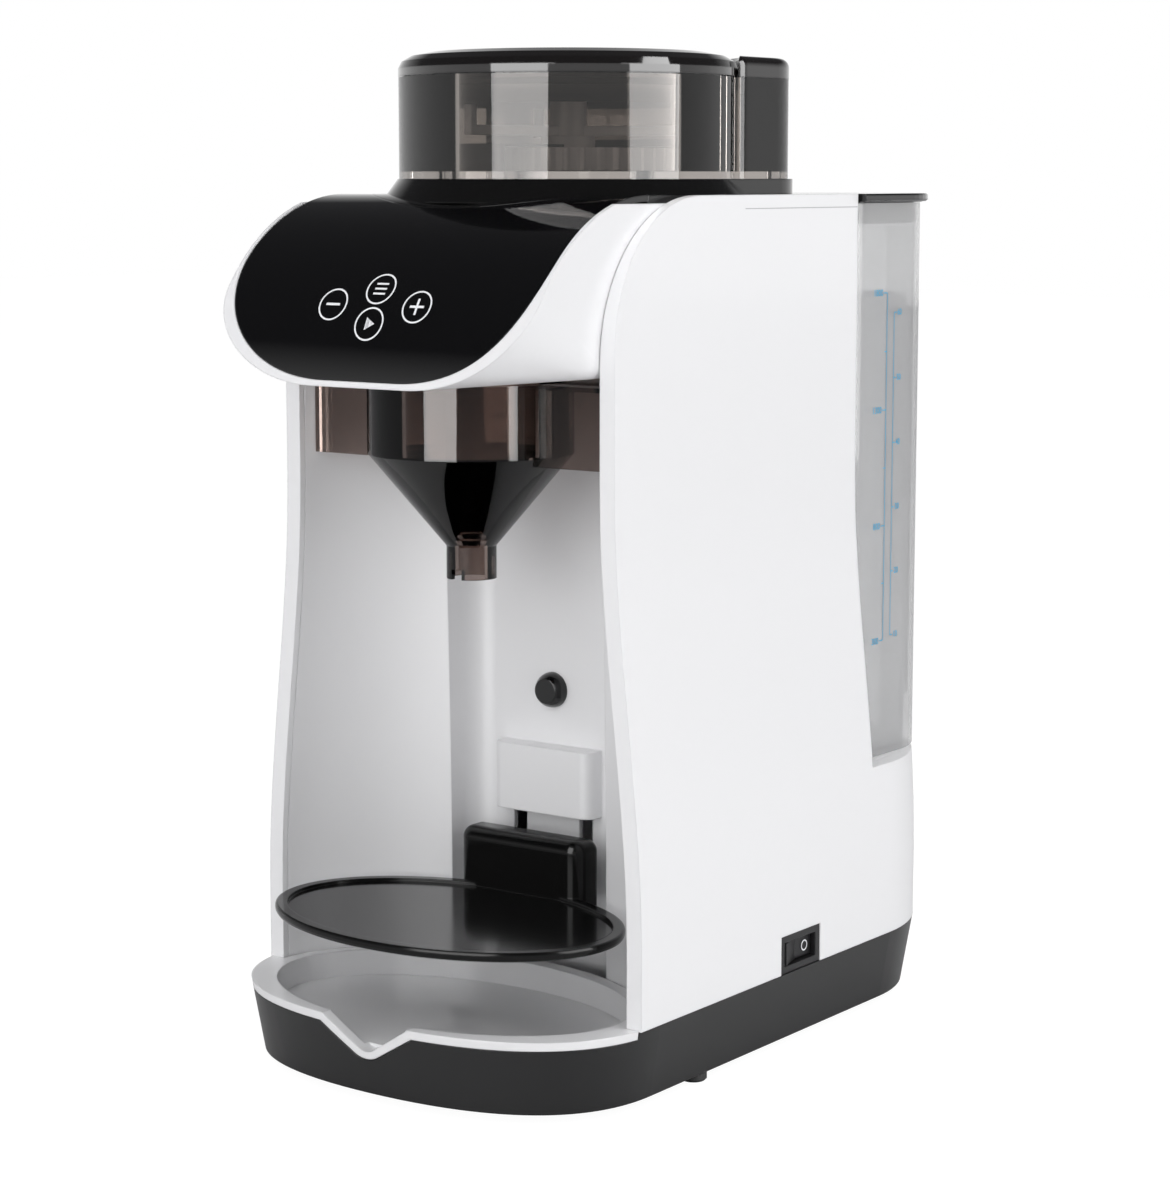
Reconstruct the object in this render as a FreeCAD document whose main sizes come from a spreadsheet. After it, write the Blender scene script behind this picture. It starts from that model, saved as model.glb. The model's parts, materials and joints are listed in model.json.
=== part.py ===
import FreeCAD, Part
import math
import os
import re
import types

import Sketcher
from FreeCAD import Placement, Rotation, Vector

# Baby formula maker, in millimetres. +Z is up, +X is to the right as the user
# faces the machine, and -Y is towards the user. The origin is at floor level,
# in the middle of the machine's width and depth.

os.makedirs("parts", exist_ok=True)
doc = FreeCAD.newDocument("FormulaMaker")
sheet = doc.addObject("Spreadsheet::Sheet", "Sizes")

# Driving sizes. Depths called "back" are measured from the front lip of the
# side shells, which stands lip_setback behind the front of the base.
driving_sizes = {
    # base
    "base_depth": 315, "base_half": 95, "foot_height": 4, "skirt_height": 29.5,
    "skirt_draft": 5, "skirt_wall": 2.5, "base_corner": 74, "front_run": 66,
    "plate_wall": 2.5, "foot_radius": 5.5, "foot_inset": 11, "front_foot_back": 52,
    "screw_radius": 1.5,
    # outer shells
    "lip_setback": 53, "lip_width": 7, "lip_wall": 3, "shell_wall": 3, "waist_half": 82.1,
    "bell_top": 239, "bell_bottom": 64, "body_top": 351, "lip_round": 57,
    "seam_back": 175, "shelf_height": 108,
    # bottle bay
    "bay_depth": 60, "recess_half": 40, "recess_back": 71, "liner_wall": 2.5,
    "ledge_height": 96, "ledge_rise": 28, "knob_radius": 7.5, "knob_height": 147,
    # head
    "head_floor": 282.5, "drum_radius": 82.7, "drum_back": 30.5, "drum_height": 268.5,
    "face_half": 76, "face_bottom": 281.8, "face_corner_x": 58, "face_corner_z": 48.7,
    "rim_width": 2.8, "face_wall": 2.4, "head_wall": 2.5, "head_half": 74.8,
    "deck_wall": 3, "collar_base": 80, "collar_height": 357.2,
    # powder hopper
    "hopper_back": 82, "hopper_radius": 69, "hopper_wall": 2.2, "hopper_seam": 397.8,
    "block_half": 66, "block_front": 108, "block_rear": 164, "block_corner": 26.5,
    "lid_rise": 10.5, "outlet_offset": 35, "outlet_radius": 7.5,
    "gear_module": 2, "wheel_teeth": 46, "pinion_teeth": 8, "wheel_height": 9,
    "axle_radius": 4, "run_clearance": 0.06, "play": 0.3,
    # funnel drawer
    "funnel_back": 17, "bowl_radius": 41, "bowl_bottom": 250, "cone_bottom": 213,
    "nozzle_radius": 10, "nozzle_bottom": 200, "funnel_wall": 2, "carrier_back": 8,
    # platform and tray
    "platform_half": 79, "platform_depth": 52.8, "platform_top": 66.6,
    "platform_wall": 4, "platform_rim": 5, "hook_half": 31, "hook_rise": 29, "tray_rim": 3.5,
    "basin_half": 81.5, "basin_depth": 51, "basin_floor": 23, "tray_wall": 2,
    "spout_half": 23, "spout_drop": 12,
    # water tank
    "tank_half": 82, "tank_rear": 258, "tank_corner": 42, "tank_top": 347,
    "tank_wall": 2.2, "valve_back": 214, "valve_radius": 9,
    # drive and water works
    "coupling_radius": 5, "motor_radius": 18, "motor_length": 38, "tube_radius": 3.5,
    "gland_height": 19, "gland_bore": 3.6, "switch_back": 100, "switch_length": 30,
    "switch_height": 16,
}

for row, (alias, number) in enumerate(driving_sizes.items(), start=1):
    sheet.set(f"A{row}", alias)
    sheet.set(f"B{row}", str(number))
    sheet.setAlias(f"B{row}", alias)
doc.recompute()

size = types.SimpleNamespace(**{name: float(sheet.get(name)) for name in driving_sizes})


def bind(text):
    # turns the sizes' plain names into references to the sheet
    def reference(match):
        return f"Sizes.{match.group()}" if match.group() in driving_sizes else match.group()
    return re.sub(r"[a-z_]+", reference, text)


def number(text):
    return float(sheet.evalExpression(text))


# Places that several pieces share.
lip = "(lip_setback - base_depth / 2)"
lip_y = size.lip_setback - size.base_depth / 2
skirt_top = size.foot_height + size.skirt_height
pieces = {}


def keep(label, piece):
    piece.Label = label
    pieces[label] = piece
    return piece


def keep_shape(label, shape):
    piece = doc.addObject("Part::Feature", label)
    piece.Shape = shape
    piece.Placement = shape.Placement
    return keep(label, piece)


# Bodies with sketches whose every corner is bound to the sheet.

def new_body(label, back="0", up="0", across="0"):
    body = doc.addObject("PartDesign::Body", label)
    body.setExpression("Placement.Base.x", bind(across))
    body.setExpression("Placement.Base.y", bind(f"{lip} + {back}"))
    body.setExpression("Placement.Base.z", bind(up))
    return keep(label, body)


def new_sketch(body, role, offset="0"):
    sketch = body.newObject("Sketcher::SketchObject", f"{body.Label}_sketch")
    plane = next(f for f in body.Origin.OriginFeatures if f.Role == role)
    sketch.AttachmentSupport = [(plane, "")]
    sketch.MapMode = "FlatFace"
    sketch.setExpression("AttachmentOffset.Base.z", bind(offset))
    return sketch


def place_point(sketch, geometry, end, across, up):
    for kind, text in (("DistanceX", across), ("DistanceY", up)):
        index = sketch.addConstraint(
            Sketcher.Constraint(kind, -1, 1, geometry, end, number(text)))
        sketch.setExpression(f"Constraints[{index}]", bind(text))


def draw_outline(sketch, corners):
    spots = [Vector(number(a), number(b), 0) for a, b in corners]
    first = sketch.GeometryCount
    for index, spot in enumerate(spots):
        sketch.addGeometry(Part.LineSegment(spot, spots[(index + 1) % len(spots)]))
    for index in range(len(spots)):
        following = first + (index + 1) % len(spots)
        sketch.addConstraint(Sketcher.Constraint("Coincident", first + index, 2, following, 1))
        place_point(sketch, first + index, 1, *corners[index])


def draw_circle(sketch, across, up, radius):
    centre = Vector(number(across), number(up), 0)
    index = sketch.addGeometry(Part.Circle(centre, Vector(0, 0, 1), number(radius)))
    place_point(sketch, index, 3, across, up)
    constraint = sketch.addConstraint(Sketcher.Constraint("Radius", index, number(radius)))
    sketch.setExpression(f"Constraints[{constraint}]", bind(radius))


def pad(body, sketch, length, reverse=False):
    feature = body.newObject("PartDesign::Pad", f"{body.Label}_pad")
    feature.Profile = sketch
    feature.setExpression("Length", bind(length))
    feature.Reversed = reverse
    sketch.Visibility = False
    return feature


def pocket(body, sketch, length, reverse=False):
    feature = body.newObject("PartDesign::Pocket", f"{body.Label}_pocket")
    feature.Profile = sketch
    feature.setExpression("Length", bind(length))
    feature.Reversed = reverse
    return feature


def turn(body, corners):
    # an outline in the body's XZ plane, turned about its upright axis
    sketch = new_sketch(body, "XZ_Plane")
    draw_outline(sketch, corners)
    feature = body.newObject("PartDesign::Revolution", f"{body.Label}_turn")
    feature.Profile = sketch
    feature.ReferenceAxis = (sketch, ["V_Axis"])
    feature.Angle = 360
    return feature


# Solids made straight from curves, for the moulded shells.

def quarter(start, corner, end, fullness):
    # a rounded quarter from start to end that swells towards the corner
    poles = [start, start + (corner - start) * fullness, end + (corner - end) * fullness, end]
    curve = Part.BezierCurve()
    curve.setPoles(poles)
    return curve.toShape()


def line(start, end):
    return Part.LineSegment(start, end).toShape()


def arc(start, middle, end):
    return Part.Arc(start, middle, end).toShape()


def polygon(spots):
    return Part.Wire([line(spot, spots[(index + 1) % len(spots)]) for index, spot in enumerate(spots)])


def prism(wire, travel):
    return Part.Face(wire).extrude(travel)


def box(x0, x1, y0, y1, z0, z1):
    return Part.makeBox(x1 - x0, y1 - y0, z1 - z0, Vector(x0, y0, z0))


def cylinder(radius, x, y, z0, z1):
    return Part.makeCylinder(radius, z1 - z0, Vector(x, y, z0))


def lying_cylinder(radius, x, y, z, length):
    # a round bar that runs to the rear from its front end
    return Part.makeCylinder(radius, length, Vector(x, y, z), Vector(0, 1, 0))


def corner_arc(centre_x, centre_y, radius, angle, z):
    # a quarter turn that starts at the angle and runs anticlockwise
    spots = []
    for step in (0, 45, 90):
        bearing = math.radians(angle + step)
        spots.append(Vector(centre_x + radius * math.cos(bearing),
                            centre_y + radius * math.sin(bearing), z))
    return arc(*spots)


def rounded_plan(half, front, rear, front_radius, rear_radius, z):
    # a plan outline, symmetric about x = 0, with four rounded corners
    west, east = -half + front_radius, half - front_radius
    back_west, back_east = -half + rear_radius, half - rear_radius
    return Part.Wire([
        line(Vector(west, front, z), Vector(east, front, z)),
        corner_arc(east, front + front_radius, front_radius, 270, z),
        line(Vector(half, front + front_radius, z), Vector(half, rear - rear_radius, z)),
        corner_arc(back_east, rear - rear_radius, rear_radius, 0, z),
        line(Vector(back_east, rear, z), Vector(back_west, rear, z)),
        corner_arc(back_west, rear - rear_radius, rear_radius, 90, z),
        line(Vector(-half, rear - rear_radius, z), Vector(-half, front + front_radius, z)),
        corner_arc(west, front + front_radius, front_radius, 180, z),
    ])


def ellipse_prism(half, depth, y, z0, z1):
    if half >= depth:
        ellipse = Part.Ellipse(Vector(0, y, z0), half, depth)
    else:
        ellipse = Part.Ellipse(Vector(0, y + depth, z0), Vector(half, y, z0), Vector(0, y, z0))
    return prism(Part.Wire([ellipse.toShape()]), Vector(0, 0, z1 - z0))


def mirrored(shape):
    return shape.mirror(Vector(0, 0, 0), Vector(1, 0, 0))


# Base

def base_section(z, inset):
    # plan outline of the skirt; it narrows towards the floor
    drawn_in = size.skirt_draft * max(skirt_top - z, 0) / size.skirt_height + inset
    half = size.base_half - drawn_in
    front = -size.base_depth / 2 + drawn_in
    rear = size.base_depth / 2 - drawn_in
    radius = size.base_corner - drawn_in
    side = -size.base_depth / 2 + size.front_run
    nose = Vector(0, front, z)
    right_side, left_side = Vector(half, side, z), Vector(-half, side, z)
    swell = 0.66
    return Part.Wire([
        quarter(nose, Vector(half, front, z), right_side, swell),
        line(right_side, Vector(half, rear - radius, z)),
        corner_arc(half - radius, rear - radius, radius, 0, z),
        line(Vector(half - radius, rear, z), Vector(radius - half, rear, z)),
        corner_arc(radius - half, rear - radius, radius, 90, z),
        line(Vector(-half, rear - radius, z), left_side),
        quarter(left_side, Vector(-half, front, z), nose, swell),
    ])


def base_form(z0, z1, inset):
    return Part.makeLoft([base_section(z0, inset), base_section(z1, inset)], True, True)


rim_bottom = skirt_top - size.tray_rim + 0.5


def spout_prism(clearance):
    # the V that the tray's spout makes in the rim, running front to back
    half = size.spout_half + clearance
    low = rim_bottom - size.spout_drop - clearance
    front = -size.base_depth / 2 - 1
    tip = 5 + clearance / 2
    top = skirt_top + 2
    shoulder = rim_bottom - clearance
    corners = [Vector(tip, front, low + 1.2), Vector(half, front, shoulder), Vector(half, front, top),
               Vector(-half, front, top), Vector(-half, front, shoulder), Vector(-tip, front, low + 1.2)]
    dip = arc(corners[-1], Vector(0, front, low), corners[0])
    sides = [line(start, end) for start, end in zip(corners, corners[1:])]
    return prism(Part.Wire([dip] + sides), Vector(0, size.lip_setback - size.basin_depth + 9, 0))


# The rear feet sit in the round corners.
corner_reach = size.base_corner - size.skirt_draft - size.foot_radius - 2
corner_bearing = math.radians(36)
foot_places = [
    (size.base_half - size.foot_inset, lip_y + size.front_foot_back),
    (size.base_half - size.base_corner + corner_reach * math.cos(corner_bearing),
     size.base_depth / 2 - size.base_corner + corner_reach * math.sin(corner_bearing)),
]
foot_spots = [(side * x, y) for x, y in foot_places for side in (-1, 1)]


def base_skirt():
    skirt = base_form(size.foot_height, skirt_top, 0)
    skirt = skirt.cut(base_form(size.foot_height - 1, skirt_top + 1, size.skirt_wall))
    front_edge = box(-100, 100, -size.base_depth, lip_y, rim_bottom, skirt_top + 1)
    skirt = skirt.cut([front_edge, spout_prism(size.play)])
    for x, y in foot_spots:
        notch = cylinder(size.foot_radius + size.play, x, y, 0, size.foot_height + 4)
        peak = Part.makeCone(size.foot_radius + size.play, 0.5, 6, Vector(x, y, size.foot_height + 4))
        skirt = skirt.cut([notch, peak])
    gland = lying_cylinder(size.gland_bore + 3, 0, size.base_depth / 2 - 20, size.gland_height, 30)
    return skirt.cut(gland)


plate_bottom = size.foot_height + 1
plate_top = plate_bottom + size.plate_wall
screw_spots = [(side * 62, lip_y + back) for back in (-15, 100, 205) for side in (-1, 1)]


def base_plate():
    plate = base_form(plate_bottom, plate_top, size.skirt_wall + 0.2)
    holes = [cylinder(size.foot_radius + 0.1, x, y, 0, 20) for x, y in foot_spots]
    holes += [cylinder(size.screw_radius + 0.1, x, y, 0, 20) for x, y in screw_spots]
    vents = [box(-22 + 9 * step, -18 + 9 * step, lip_y + 120, lip_y + 180, 0, 20) for step in range(6)]
    return plate.cut(holes + vents)


def rubber_feet():
    feet = []
    inside = base_form(plate_top - 1, plate_top + 3, size.skirt_wall + size.play)
    for x, y in foot_spots:
        stem = cylinder(size.foot_radius, x, y, 0.8, plate_top)
        sole = Part.makeCone(size.foot_radius - 0.8, size.foot_radius, 0.8, Vector(x, y, 0))
        collar = cylinder(size.foot_radius + 1.5, x, y, plate_top, plate_top + 2).common(inside)
        feet.append(stem.fuse([sole, collar]).removeSplitter())
    return Part.makeCompound(feet)


boss_top = plate_top + 8


def base_screws():
    screws = []
    for x, y in screw_spots:
        head = Part.makeCone(2.2 * size.screw_radius, size.screw_radius, 1.2,
                             Vector(x, y, plate_bottom - 1.2))
        shank = cylinder(size.screw_radius, x, y, plate_bottom, boss_top - 1)
        screws.append(head.fuse(shank).removeSplitter())
    return Part.makeCompound(screws)


# Outer shells

def half_width(z):
    # the bell: narrow at the waist and above, wide at the foot, an even S between
    share = (size.bell_top - z) / (size.bell_top - size.bell_bottom)
    share = min(max(share, 0), 1)
    blend = share * share * (3 - 2 * share)
    return size.waist_half + (size.base_half - size.waist_half) * blend


def shell_section(z, inset, front):
    half = half_width(z) - inset
    drawn_in = size.base_half - half_width(z)
    rear = size.base_depth / 2 - 0.6 * drawn_in - inset
    radius = size.base_corner - drawn_in - inset
    return Part.Wire([
        line(Vector(-half, front, z), Vector(half, front, z)),
        line(Vector(half, front, z), Vector(half, rear - radius, z)),
        corner_arc(half - radius, rear - radius, radius, 0, z),
        line(Vector(half - radius, rear, z), Vector(radius - half, rear, z)),
        corner_arc(radius - half, rear - radius, radius, 90, z),
        line(Vector(-half, rear - radius, z), Vector(-half, front, z)),
    ])


def bell_heights(z0, z1):
    # even steps, so that a surface drawn through them doesn't bulge
    steps = 8
    rise = (size.bell_top - size.bell_bottom) / steps
    heights = [size.bell_bottom + rise * step for step in range(-4, 2 * steps)]
    return [z0] + [z for z in heights if z0 + rise / 3 < z < z1 - rise / 3] + [z1]


def shell_form(inset, z0, z1):
    front = lip_y - 60
    sections = [shell_section(z, inset, front) for z in bell_heights(z0, z1)]
    return Part.makeLoft(sections, True, False)


def side_profile(inset, bottom, rear_run, seam_run):
    # side view of the shells, drawn in by inset, as a prism across the machine
    x = -150
    front = lip_y + inset
    top = size.body_top - inset
    radius = size.lip_round - inset
    seam = lip_y + size.seam_back + seam_run
    shelf = size.shelf_height - inset
    rear = size.base_depth / 2 + rear_run
    slant = radius * math.sqrt(0.5)
    centre_y, centre_z = front + radius, top - radius
    spots = [Vector(x, front, bottom), Vector(x, front, centre_z), Vector(x, centre_y, top),
             Vector(x, seam, top), Vector(x, seam, shelf), Vector(x, rear, shelf), Vector(x, rear, bottom)]
    middle = Vector(x, centre_y - slant, centre_z + slant)
    edges = [line(spots[0], spots[1]), arc(spots[1], middle, spots[2])]
    edges += [line(spots[i], spots[i + 1]) for i in range(2, 6)]
    edges.append(line(spots[6], spots[0]))
    return prism(Part.Wire(edges), Vector(300, 0, 0))


def side_shell():
    outer = shell_form(0, skirt_top, size.body_top + 1)
    outer = outer.common(side_profile(0, skirt_top, 5, 0))
    inner = shell_form(size.shell_wall, skirt_top - 5, size.body_top + 5)
    inner = inner.common(side_profile(size.shell_wall, skirt_top - 5, 5, 5))
    opening = shell_form(size.lip_width, skirt_top - 6, size.body_top + 10)
    shell = outer.cut([inner, opening, head_envelope(size.play)])
    shell = shell.common(box(0, 150, -200, 200, 0, 400))
    y0 = lip_y + size.switch_back
    notch = box(80, 120, y0 - 0.1, y0 + size.switch_length + 0.1, 0, skirt_top + size.switch_height + 0.1)
    return shell, notch


# Head

def head_outline(y, half, bottom, corner_x, corner_z, top, lean):
    # front view of the head at depth y; the lower corners are rounded
    low_left, low_right = Vector(corner_x - half, y, bottom), Vector(half - corner_x, y, bottom)
    right, left = Vector(half, y, bottom + corner_z), Vector(-half, y, bottom + corner_z)
    top_right, top_left = Vector(half + lean, y, top), Vector(-half - lean, y, top)
    return Part.Wire([
        line(low_left, low_right),
        quarter(low_right, Vector(half, y, bottom), right, 0.6),
        line(right, top_right), line(top_right, top_left), line(top_left, left),
        quarter(left, Vector(-half, y, bottom), low_left, 0.6),
    ])


def face_prism(growth, front, rear):
    # the face's outline from the front, grown all round and swept front to back
    wire = head_outline(front, size.face_half + growth, size.face_bottom - growth,
                        size.face_corner_x + growth, size.face_corner_z + growth,
                        size.body_top + 20, 0)
    return prism(wire, Vector(0, rear - front, 0))


def head_envelope(growth):
    front = lip_y + size.drum_back - size.drum_radius - 5
    floor = size.head_floor - growth
    rim = size.rim_width + growth
    sections = [
        head_outline(front, size.face_half + rim, size.face_bottom - rim, size.face_corner_x + rim,
                     size.face_corner_z + rim, size.body_top + 8, 0),
        head_outline(lip_y, size.head_half + growth, floor, 6, 6, size.body_top + 8, 3.7),
        head_outline(lip_y + size.lip_round + 5, size.head_half + growth, floor, 6, 6,
                     size.body_top + 8, 3.7),
    ]
    return Part.makeLoft(sections, True, True)


def drum(radius, x=150):
    centre = Vector(-x, lip_y + size.drum_back, size.drum_height)
    return Part.makeCylinder(radius, 2 * x, centre, Vector(1, 0, 0))


def behind_face(radius):
    # everything that lies behind or below the drum of this radius
    rear = box(-150, 150, lip_y + size.drum_back, lip_y + 300, 200, size.drum_height + radius)
    below = box(-150, 150, lip_y + size.drum_back - radius, lip_y + size.drum_back, 200, size.drum_height)
    return drum(radius).fuse([rear, below])


rim_radius = size.drum_radius + 0.4
face_back = size.drum_radius - size.face_wall - 0.1
head_rear = lip_y + size.lip_round + 4


def head_housing():
    outer = head_envelope(0).common(behind_face(rim_radius))
    outer = outer.common(box(-150, 150, -250, head_rear, 0, size.body_top - size.deck_wall))
    inside = head_envelope(-size.head_wall).common(behind_face(face_back - size.head_wall))
    seat = face_prism(0.15, lip_y - 80, lip_y + size.drum_back + 1).cut(drum(face_back))
    seat = seat.cut(box(-150, 150, -250, 250, 0, size.face_bottom - 10))
    window = touch_frame(box(-32, 32, -16, 16, 60, 90))
    chute = cylinder(chute_radius + size.play, 0, chute_y, 200, 400)
    spray = cylinder(spray_radius + size.play, spray_x, spray_y, 200, 400)
    return outer.cut([inside, seat, window, chute, spray])


def face_panel():
    panel = face_prism(0, lip_y - 80, lip_y + size.drum_back).common(drum(size.drum_radius))
    panel = panel.cut(drum(face_back + 0.1))
    return panel.cut([cylinder(size.collar_base + 0.2, 0, hopper_y, 200, 400),
                      box(-150, 150, -250, 250, 200, size.face_bottom - 1)])


touch_tilt = 30


def touch_frame(shape):
    # from the touch keys' own frame (z out of the face) to the machine's
    turned = shape.copy()
    turned.Placement = Placement(Vector(0, lip_y + size.drum_back, size.drum_height),
                                 Rotation(Vector(1, 0, 0), 90 - touch_tilt))
    return turned


hopper_y = lip_y + size.hopper_back
chute_radius = size.outlet_radius + 3
chute_y = hopper_y - size.outlet_offset
spray_radius = 4
spray_x = 24
spray_y = lip_y + 12
deck_bottom = size.body_top - size.deck_wall
seam_y = lip_y + size.seam_back
motor_y = hopper_y + size.gear_module * (size.wheel_teeth + size.pinion_teeth) / 2
hopper_floor = size.collar_height + 3


def top_deck():
    half = size.waist_half - size.lip_width - 0.2
    plate = box(-half, half, head_rear - 30, seam_y - 0.2, deck_bottom, size.body_top)
    apex = lip_y + size.drum_back + 1
    front = face_prism(-0.2, lip_y - 40, apex).common(drum(size.drum_radius))
    front = front.common(cylinder(size.collar_base, 0, hopper_y, deck_bottom - 12, 400))
    front = front.cut(drum(face_back + 0.1))
    centre = (0, hopper_y)
    flare_rise = size.collar_height - size.body_top + 8
    flare = Part.makeCone(size.collar_base, size.hopper_radius + 0.6, flare_rise,
                          Vector(*centre, size.body_top - 8))
    collar = flare.common(box(-half, half, -200, 200, deck_bottom, 400))
    collar = collar.fuse(flare.common(front.fuse(box(-70, 70, lip_y, head_rear, deck_bottom, 400))))
    pad_wire = rounded_plan(size.block_half + 2, hopper_y, lip_y + size.block_rear + 2, 3,
                            size.block_corner + 2, size.body_top - 1)
    block_pad = prism(pad_wire, Vector(0, 0, size.collar_height - size.body_top + 1))
    deck = plate.fuse([front, collar, block_pad])
    inside = cylinder(size.hopper_radius - 4, 0, hopper_y, size.body_top, 400)
    deck = deck.cut([inside, cylinder(chute_radius + size.play, 0, chute_y, 200, 400),
                     cylinder(size.coupling_radius + 3, 0, motor_y, 200, 400)])
    return deck


# Bottle bay

def bay_form(growth, z0, z1):
    # half ellipses that widen with the shells, open towards the user
    def section(z):
        half = half_width(z) - size.lip_width + growth
        depth = size.bay_depth + growth
        front = lip_y - 2
        curve = Part.Ellipse(Vector(0, lip_y, z), half, depth)
        arc_edge = Part.Edge(curve.toShape().Curve, 0, math.pi)
        return Part.Wire([arc_edge, line(Vector(-half, lip_y, z), Vector(-half, front, z)),
                          line(Vector(-half, front, z), Vector(half, front, z)),
                          line(Vector(half, front, z), Vector(half, lip_y, z))])
    return Part.makeLoft([section(z) for z in bell_heights(z0, z1)], True, False)


def recess(growth, z0, z1):
    wire = rounded_plan(size.recess_half + growth, lip_y + 10, lip_y + size.recess_back + growth,
                        3, 10 + growth, z0)
    return prism(wire, Vector(0, 0, z1 - z0))


platform_bottom = size.platform_top - size.platform_wall
liner_bottom = skirt_top - 6
liner_top = size.head_floor - 0.2
slot_x = 17
slot_half = 3.4
hook_travel = 18
arm_rise = 8
arm_height = 6


def bay_liner():
    outside = bay_form(size.liner_wall, liner_bottom, liner_top)
    outside = outside.fuse(recess(size.liner_wall, liner_bottom, liner_top))
    inside = bay_form(0, liner_bottom - 1, liner_top + 1).fuse(recess(0, liner_bottom - 1, liner_top + 1))
    liner = outside.cut(inside)
    liner = liner.common(box(-150, 150, lip_y + size.lip_wall + 0.2, 300, liner_bottom, liner_top))
    wall_y = lip_y + size.recess_back
    ledge_plan = rounded_plan(25, wall_y - 9, wall_y + 0.5, 5, 0.2, size.ledge_height)
    ledge = prism(ledge_plan, Vector(0, 0, size.ledge_rise))
    slot_bottom = platform_bottom + arm_rise - size.play
    slot_top = platform_bottom + arm_rise + arm_height + hook_travel + size.play
    slots = [box(side * slot_x - slot_half, side * slot_x + slot_half, wall_y - 20, wall_y + 20,
                 slot_bottom, slot_top) for side in (-1, 1)]
    knob_hole = lying_cylinder(size.knob_radius - 2, 0, wall_y - 2, size.knob_height, 20)
    return liner.fuse(ledge).cut(slots + [knob_hole])


def bottle_sensor():
    # a round black eye that looks for the bottle
    wall_y = lip_y + size.recess_back
    dome = Part.makeSphere(size.knob_radius, Vector(0, wall_y - 0.2, size.knob_height))
    dome = dome.common(box(-50, 50, wall_y - 0.75 * size.knob_radius, wall_y - 0.1, 0, 400))
    stem = lying_cylinder(size.knob_radius - 2.2, 0, wall_y - 0.5, size.knob_height, 9)
    return dome.fuse(stem).removeSplitter()


def bottle_platform():
    # the rim is a stack of ellipses, rounded above and below
    rings = []
    for inset, z in ((2, platform_bottom), (0.5, platform_bottom + 0.7), (0, platform_bottom + 1.8),
                     (0, size.platform_top - 1), (0.3, size.platform_top - 0.3), (1, size.platform_top)):
        ring = Part.Ellipse(Vector(0, lip_y, z), size.platform_half - inset, size.platform_depth - inset)
        rings.append(Part.Wire([ring.toShape()]))
    disc = Part.makeLoft(rings, True, True)
    dish = ellipse_prism(size.platform_half - size.platform_rim, size.platform_depth - size.platform_rim,
                         lip_y, size.platform_top - 1.4, size.platform_top + 1)
    wall_y = lip_y + size.recess_back
    post_front = lip_y + size.platform_depth - 7
    post_bottom = platform_bottom - 1.6
    post_wire = rounded_plan(size.hook_half, post_front, wall_y - 9.6, 6, 3, post_bottom)
    post = prism(post_wire, Vector(0, 0, size.hook_rise))
    top_edges = [edge for edge in post.Edges if edge.BoundBox.ZMin > post_bottom + size.hook_rise - 0.1]
    post = post.makeFillet(5, top_edges)
    # two hooks reach through the slots of the wall and turn down behind it
    hooks = []
    for side in (-1, 1):
        x0 = side * slot_x - slot_half + 0.4
        x1 = side * slot_x + slot_half - 0.4
        arm_bottom = platform_bottom + arm_rise
        arm = box(x0, x1, wall_y - 10, wall_y + size.liner_wall + 4, arm_bottom, arm_bottom + arm_height)
        finger = box(x0, x1, wall_y + size.liner_wall + 0.6, wall_y + size.liner_wall + 4,
                     arm_bottom - 10, arm_bottom + 1)
        hooks += [arm, finger]
    return disc.cut(dish).fuse([post] + hooks).removeSplitter()


# Drip tray

def drip_tray():
    top = skirt_top + 0.5
    rim = base_form(rim_bottom, top, 0).common(box(-150, 150, -200, lip_y - 0.2, 0, 100))
    half = half_width(skirt_top) - size.lip_width - 0.6
    inner_rim = ellipse_prism(half, size.bay_depth - 0.6, lip_y, rim_bottom, top)
    inner_rim = inner_rim.common(box(-150, 150, lip_y - 1, 200, 0, 100))
    rim = rim.fuse(inner_rim)
    bowl = ellipse_prism(size.basin_half + size.tray_wall, size.basin_depth + size.tray_wall, lip_y + 2,
                         size.basin_floor - size.tray_wall, top)
    spout = spout_prism(0).common(base_form(10, top, 0))
    bowl = bowl.common(bay_form(-0.6, 10, 60).fuse(box(-150, 150, -200, lip_y - 0.2, 0, 100)))
    bowl = bowl.common(base_form(10, top, size.skirt_wall + size.play))
    tray = rim.fuse([bowl, spout])
    hollow = ellipse_prism(size.basin_half, size.basin_depth, lip_y + 2, size.basin_floor, top + 1)
    open_front = box(-150, 150, -200, lip_y, 0, 100)
    hollow = hollow.common(bay_form(-0.6 - size.tray_wall, 10, 60).fuse(open_front))
    hollow = hollow.common(base_form(10, top + 1, size.skirt_wall + size.play + size.tray_wall))
    channel = spout_prism(-size.tray_wall)
    channel.translate(Vector(0, -1, 1))
    return tray.cut([hollow, channel]).removeSplitter()


def tray_bed():
    bed_top = size.basin_floor - size.tray_wall - 0.1
    bed = base_form(bed_top - 2.4, bed_top, size.skirt_wall + 0.2)
    bed = bed.common(box(-150, 150, -200, lip_y + size.bay_depth - 8, 0, 100))
    bed = bed.common(bay_form(-0.4, 10, 60).fuse(box(-150, 150, -200, lip_y - 0.1, 0, 100)))
    posts = [cylinder(4, x, lip_y + back, plate_top, bed_top - 2)
             for x in (-45, 0, 45) for back in (-34, 34)]
    return bed.cut(spout_prism(size.play + 0.2)).fuse(posts)


# Powder hopper. Its plan is a circle with a square-cornered block behind it.

def hopper_form(inset, z0, z1):
    radius = size.hopper_radius - inset
    round_part = cylinder(radius, 0, hopper_y, z0, z1)
    wire = rounded_plan(size.block_half - inset, lip_y + size.block_front + inset,
                        lip_y + size.block_rear - inset, max(6 - inset, 1), size.block_corner - inset, z0)
    return round_part.fuse(prism(wire, Vector(0, 0, z1 - z0))).removeSplitter()


wheel_bottom = hopper_floor + size.play
wheel_top = wheel_bottom + size.wheel_height
axle_top = wheel_top + 16


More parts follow.
